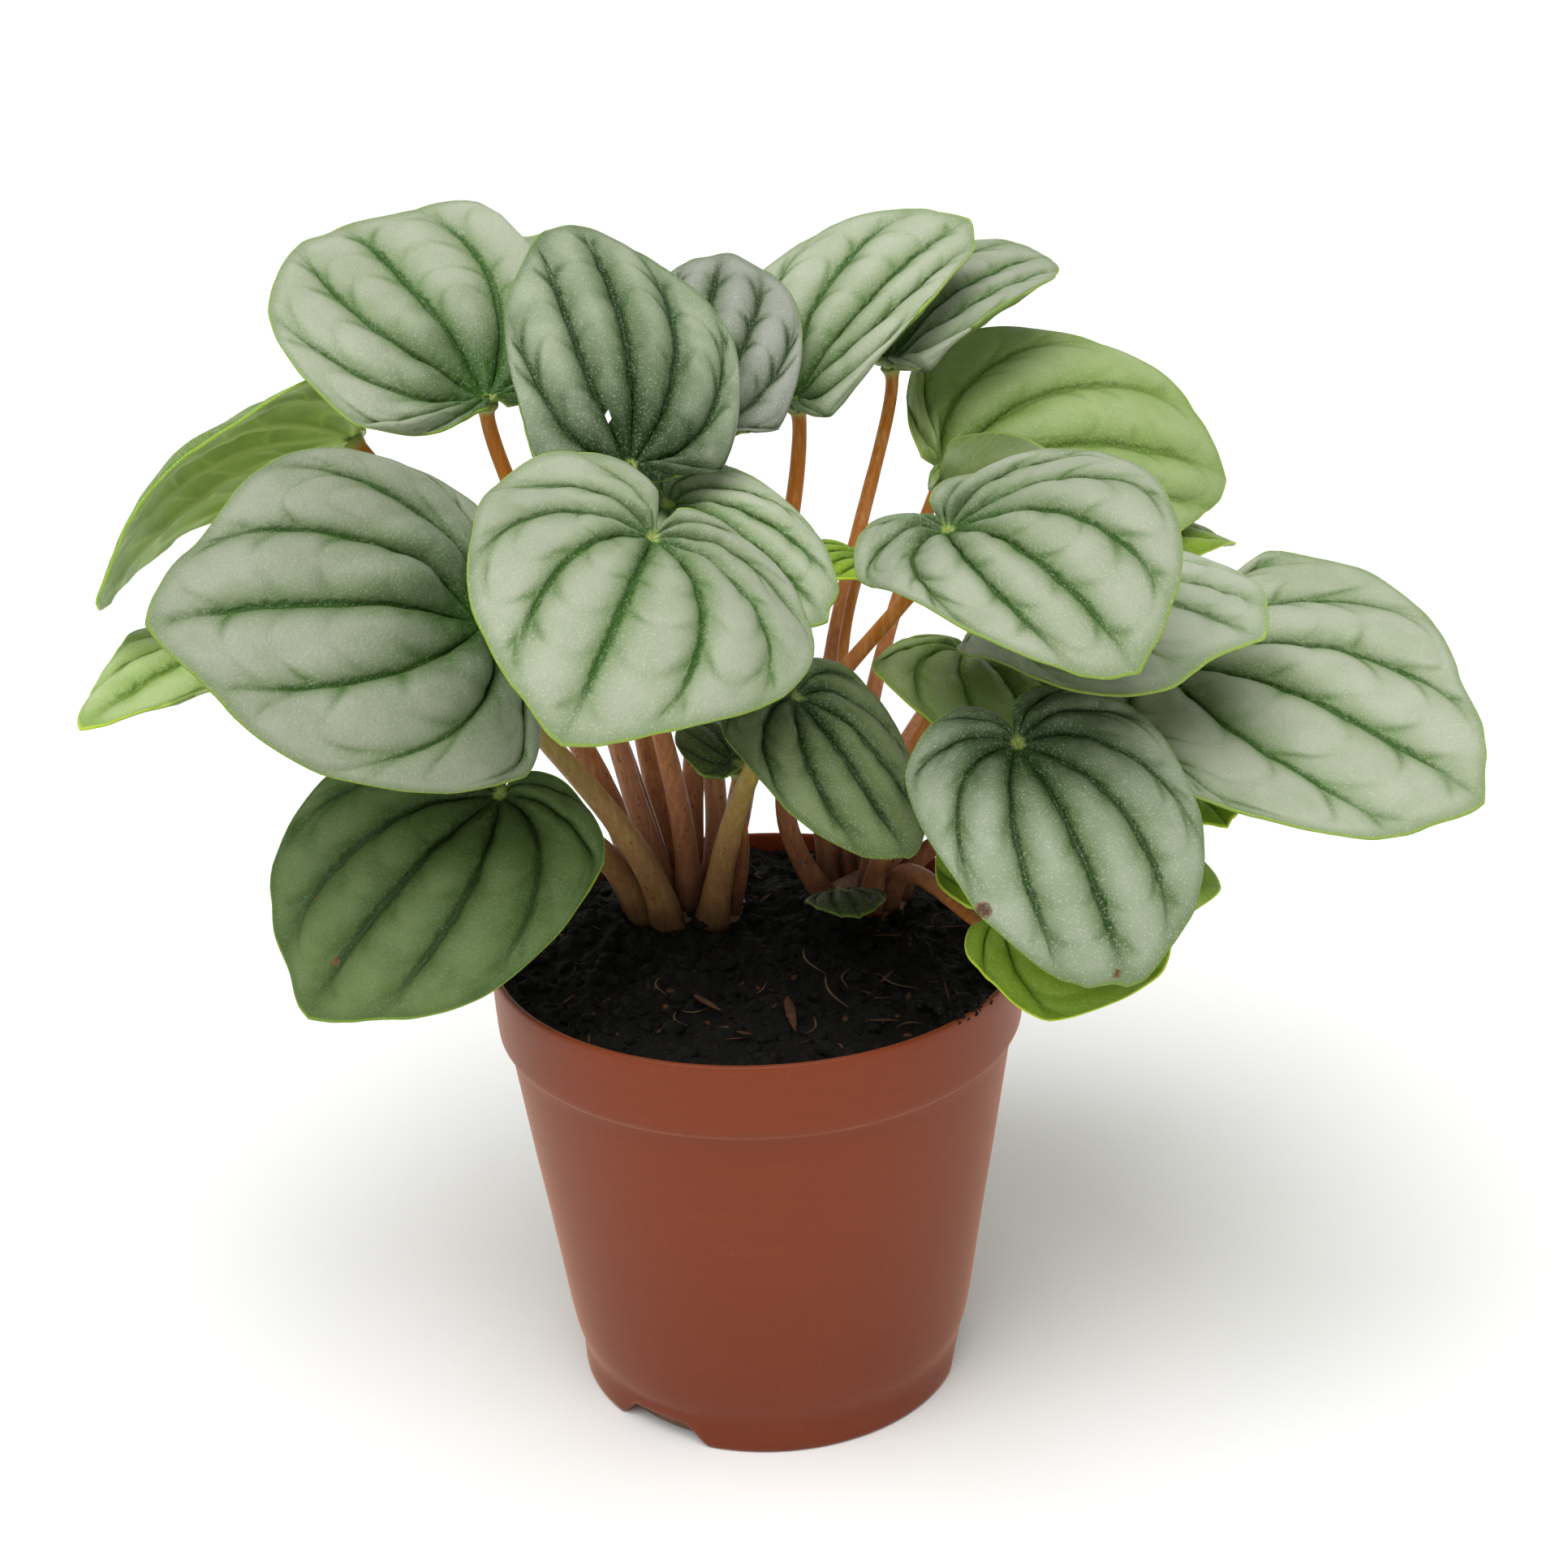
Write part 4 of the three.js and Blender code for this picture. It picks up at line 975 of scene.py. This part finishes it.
def pot_material():
    """Matt red-brown plastic, a little darker at the foot, with faint clouds, fine turning lines,
    dust, soot on the rim, and painted shade in dark grey on the back walls of the notches."""
    material, tree = new_material("pot_plastic")
    split = tree.nodes.new("ShaderNodeSeparateXYZ")
    put(split.inputs[0], place(tree))
    height = Field(tree, split.outputs[2])
    base = blend(step(height, 0.0, 0.06, 0.75, 0.0), (121, 52, 22), (105, 41, 14))
    base = blend(step(grain(tree, 14.0, 4.0), 0.3, 0.7, 0.0, 0.35), base, (118, 52, 22))
    rings = grain(tree, 0.9, 2.0, (0.05, 0.05, 1))
    base = blend(step(rings, 0.4, 0.6, 0.0, 0.12), base, (104, 46, 22))
    base = blend(step(grain(tree, 0.5, 2.0), 0.68, 0.76, 0.0, 0.25), base, (160, 96, 60))
    soot = step(grain(tree, 1.6, 3.0), 0.66, 0.74) * step(height, 0.0775, 0.0798, 0.0, 0.7)
    base = blend(soot, base, (46, 24, 16))
    # Painted shade: the back walls of the notches in dark grey.
    base = blend(stored(tree, "dark"), base, (34, 34, 38))
    shader = finish_with(base, 0.44, rings + grain(tree, 0.35, 1.0), 0.05, 0.4, 0.22)
    put(shader.inputs["Sheen Weight"], 0.5)
    put(shader.inputs["Sheen Tint"], (255, 190, 150))
    put(shader.inputs["Sheen Roughness"], 0.3)
    return material


def pot():
    """The closed profile is turned through a full circle. In a notch the foot's points rise by
    the notch's height, less the higher they are, and points inside radius 30 stay. The back wall
    of each notch is marked dark, where the material paints shade."""
    turn = circle(POT_SIDES)
    profile = np.array(OUTSIDE + INSIDE, float)[1:-1]
    radius = profile[:, :1] * np.ones(POT_SIDES)
    height = profile[:, 1:] * np.ones(POT_SIDES)
    outside = (np.arange(len(profile)) < len(OUTSIDE) - 1)[:, None]
    dark = np.zeros_like(radius)
    for centre in NOTCH_TURNS:
        gap = np.abs((turn - centre + np.pi) % (2 * np.pi) - np.pi) * FOOT_RADIUS
        window = 1 - ease(gap, NOTCH_HALF_WIDTH - 3.2, NOTCH_HALF_WIDTH + 1.6)
        arch = NOTCH_HEIGHT * window * (1 - 0.12 * (gap / NOTCH_HALF_WIDTH) ** 2)
        height = height + arch * ease(radius, 30, 31) * np.clip(1 - height / 7.4, 0, 1) * outside
        # The notch's back wall, which is coloured dark grey as painted shade.
        back = (radius > 28.5) & (radius < 32.5) & outside & (height < 5)
        dark = np.maximum(dark, back * ease(window, 0.3, 0.7))
    middles = [[0, 0, 0], [0, 0, INSIDE[-1][1]]]
    values = {"dark": [*dark.ravel(), 0, 0]}
    return add_tube("nursery_pot", "pot", polar(radius, turn, height), middles, values, pot_material())


print("pot:", len(pot().data.polygons), "faces")

# %% [markdown]
# ## Peat
#
# Peat is nearly black, crumbly and fibrous. The surface is a round grid raised by hills of four
# sizes. Loose crumbs, splinters of wood and a few root fibres lie on it.

# %% Peat surface
SOIL_LEVEL = 77.6
SOIL_RADIUS = 43.2
SOIL_SIDES = 320
MOUND_WIDTH = 22
MOUND_HEIGHT = 3
SOIL_WALL = [(42.9, 75), (42.7, 69), (42.2, 67.6), (41.4, 66), (38.1, 44), (35.2, 24), (33.3, 10.6),
             (32.2, 8), (31.4, 6.3)]


def soil_height(x, y):
    """Height of the peat: a mound round each crown, long waves and crumbs of four sizes."""
    rise = np.zeros(np.broadcast(x, y).shape)
    for cx, cy, *_ in CROWNS.values():
        rise = np.maximum(rise, np.exp(-((x - cx) ** 2 + (y - cy) ** 2) / MOUND_WIDTH ** 2))
    edge = np.clip(np.hypot(x, y) / 43, 0, 1)
    height = SOIL_LEVEL + MOUND_HEIGHT * rise * (1 - edge ** 6)
    height = height + 0.5 * np.sin(0.31 * x + 1) * np.cos(0.27 * y) * (1 - edge ** 8)
    rough = 0.85 * hills(x, y, 5.5, 11) + 0.7 * hills(x, y, 2.3, 12) + 0.4 * hills(x, y, 1.1, 13)
    return height + (rough + 0.2 * hills(x, y, 0.6, 14)) * (1 - 0.5 * edge ** 8) - 0.5 * edge ** 10


def on_peat(radius, angle):
    """Points of the peat's surface at a radius and an angle about the pot's axis."""
    return polar(radius, angle, soil_height(radius * np.cos(angle), radius * np.sin(angle)))


def soil_material(name, dark, brown, fibre):
    """A dark ground with lighter crumbs and thin pale fibres."""
    material, tree = new_material(name)
    base = blend(step(grain(tree, 1.6, 4.0), 0.45, 0.75, 0.0, 0.8), dark, brown)
    base = blend(step(grain(tree, 0.5, 3.0, (1, 0.15, 1)), 0.66, 0.74, 0.0, 0.5), base, fibre)
    finish_with(base, 0.8, grain(tree, 0.7, 5.0), 0.5, 1.0, 0.2)
    return material


PEAT = soil_material("peat", (7, 6, 4), (22, 17, 11), (58, 46, 34))
BARK = soil_material("bark_bits", (70, 44, 30), (96, 62, 42), (128, 92, 64))
ROOT = soil_material("root_fibres", (92, 76, 56), (122, 102, 78), (148, 128, 100))


def peat():
    """The round grid of the surface, carried on down the pot's inner wall to its floor."""
    turn = circle(SOIL_SIDES)
    radii = np.array([0.3, *np.linspace(0.8, SOIL_RADIUS, 120)])[:, None]
    rings = np.concatenate([on_peat(radii, turn), turned(SOIL_WALL, turn)])
    middles = [[0, 0, soil_height(0.0, 0.0)], [0, 0, SOIL_WALL[-1][1]]]
    return add_tube("peat", "soil", rings, middles, {}, PEAT, reverse=True)


print("peat:", len(peat().data.polygons), "faces")

# %% Crumbs
LUMP_RINGS = 5
LUMP_SIDES = 7
CRUMBS = 900
BARK_BITS = 46
HEAP_CRUMBS = 90
HEAP_AT = (34.2, -28.0)
HEAP_SPREAD = (3.2, 2.2)
HEAP_LEVEL = 79.2
rng = np.random.default_rng(5)


def scatter(count, inner, outer):
    """Random places on the peat between two radii, even over the area."""
    radius = np.sqrt(rng.uniform(inner ** 2, outer ** 2, count))
    return on_peat(radius, rng.uniform(0, 2 * np.pi, count))


def add_copies(name, points, quads, tris, material):
    """One loose piece made of many closed shapes with the same faces: points holds them all."""
    base = (np.arange(len(points)) * points.shape[1])[:, None, None]
    add_piece(name, None, points, quads + base, tris + base, {}, (material,))


def lumps(name, places, sizes, material):
    """Small lumps: one small ball, squashed and dented differently at each place."""
    tilt = np.linspace(0.35, np.pi - 0.35, LUMP_RINGS)
    ball = turned(np.stack([np.sin(tilt), np.cos(tilt)], -1), circle(LUMP_SIDES)).reshape(-1, 3)
    ball = np.concatenate([ball, [[0, 0, 1], [0, 0, -1]]])
    count = len(places)
    shape = ball[None] * (1 + rng.uniform(-0.28, 0.28, (count, len(ball), 1)))
    shape = shape * rng.uniform(0.6, 1.3, (count, 1, 3))
    spin = rng.uniform(0, 2 * np.pi, count)[:, None]
    x = shape[..., 0] * np.cos(spin) - shape[..., 1] * np.sin(spin)
    y = shape[..., 0] * np.sin(spin) + shape[..., 1] * np.cos(spin)
    points = places[:, None] + np.stack([x, y, 0.75 * shape[..., 2]], -1) * sizes[:, None, None]
    add_copies(name, points, *tube_faces(LUMP_RINGS, LUMP_SIDES, reverse=True), material)


crumb_places = scatter(CRUMBS, 4, 42)
heap = rng.normal(0, 1, (HEAP_CRUMBS, 2)) * HEAP_SPREAD + HEAP_AT
heap = heap[np.hypot(heap[:, 0], heap[:, 1]) < 44.6]
heap = np.column_stack([heap, HEAP_LEVEL + rng.uniform(0, 1.1, len(heap))])
crumb_sizes = 0.35 + 1.4 * rng.uniform(0, 1, CRUMBS) ** 2.5
crumb_sizes = np.concatenate([crumb_sizes, rng.uniform(0.5, 1.3, len(heap))])
lumps("peat_crumbs", np.concatenate([crumb_places, heap]), crumb_sizes, PEAT)
lumps("bark_bits", scatter(BARK_BITS, 12, 42), rng.uniform(0.3, 0.8, BARK_BITS), BARK)
print(len(crumb_places) + len(heap), "crumbs and", BARK_BITS, "bits of bark")

# %% Splinters and fibres
SPLINTER_ROWS = 7
SPLINTER_SIDES = 6
FLATNESS = 0.32
SPLINTERS = 40
FIBRES = 16
LONG_SPLINTERS = np.array([
    [(4.6, -22.5, 80.6), (5.8, -31.5, 78.9)], [(-10.5, -19.5, 79.9), (-6.0, -24.5, 79.4)],
    [(-3.5, -31.0, 79.0), (-1.0, -32.5, 79.2)], [(17.0, -29.0, 79.2), (22.5, -29.6, 79.3)]])
LONG_FIBRES = np.array([
    [(7.6, -9.0, 82.4), (11.0, -17.0, 81.4)], [(11.0, -17.0, 81.4), (14.3, -26.6, 80.0)],
    [(-16.0, -14.0, 80.6), (-15.0, -20.0, 80.2)], [(20.0, -16.0, 80.6), (26.0, -21.0, 80.2)]])


def slivers(name, starts, ends, widths, material, bow=0.0):
    """Flat splinters: a lens carried along a line, narrow at both ends. bow bends each line
    sideways by bow * sin(pi * share) + 0.3 * bow * sin(5 * share) millimetres."""
    share = np.linspace(0.02, 0.98, SPLINTER_ROWS)
    turn = circle(SPLINTER_SIDES)
    axis = ends - starts
    across = unit(np.cross(axis, [0, 0, 1.0]))
    up = unit(np.cross(across, axis))
    swell = np.sin(np.pi * share) ** 0.6 * (1.1 - 0.5 * share)
    ring = across[:, None, None] * np.cos(turn)[:, None]
    ring = ring + up[:, None, None] * (FLATNESS * np.sin(turn))[:, None]
    aside = bow * (np.sin(np.pi * share) + 0.3 * np.sin(5 * share))
    middle = starts[:, None] + share[:, None] * axis[:, None] + aside[:, None] * across[:, None]
    points = middle[:, :, None] + ring * (widths[:, None] * swell)[:, :, None, None]
    points = np.concatenate([points.reshape(len(starts), -1, 3), np.stack([starts, ends], 1)], 1)
    add_copies(name, points, *tube_faces(SPLINTER_ROWS, SPLINTER_SIDES), material)


places = scatter(SPLINTERS, 8, 41)
heading = rng.uniform(0, 2 * np.pi, SPLINTERS)
reach = rng.uniform(2, 6, SPLINTERS)
ends = places + np.stack([reach * np.cos(heading), reach * np.sin(heading), 0 * reach], -1)
ends = ends * np.where(np.hypot(ends[:, 0], ends[:, 1]) > 41, 0.9, 1)[:, None]
ends[:, 2] = soil_height(ends[:, 0], ends[:, 1]) + 0.5
widths = [*rng.uniform(0.2, 0.5, SPLINTERS), 1.0, 0.8, 0.5, 0.35]
slivers("splinters", np.concatenate([places + (0, 0, 0.4), LONG_SPLINTERS[:, 0]]),
        np.concatenate([ends, LONG_SPLINTERS[:, 1]]), np.array(widths), BARK)
places = scatter(FIBRES, 14, 40)
heading = rng.uniform(0, 2 * np.pi, FIBRES)
ends = places + 5 * np.stack([np.cos(heading), np.sin(heading), np.zeros(FIBRES)], -1)
ends[:, 2] = soil_height(ends[:, 0], ends[:, 1]) + 0.6
places[:, 2] += 0.6
widths = [*rng.uniform(0.12, 0.2, FIBRES), 0.22, 0.22, 0.2, 0.18]
slivers("root_fibres", np.concatenate([places, LONG_FIBRES[:, 0]]),
        np.concatenate([ends, LONG_FIBRES[:, 1]]), np.array(widths), ROOT, bow=0.9)
print("splinters and root fibres made")
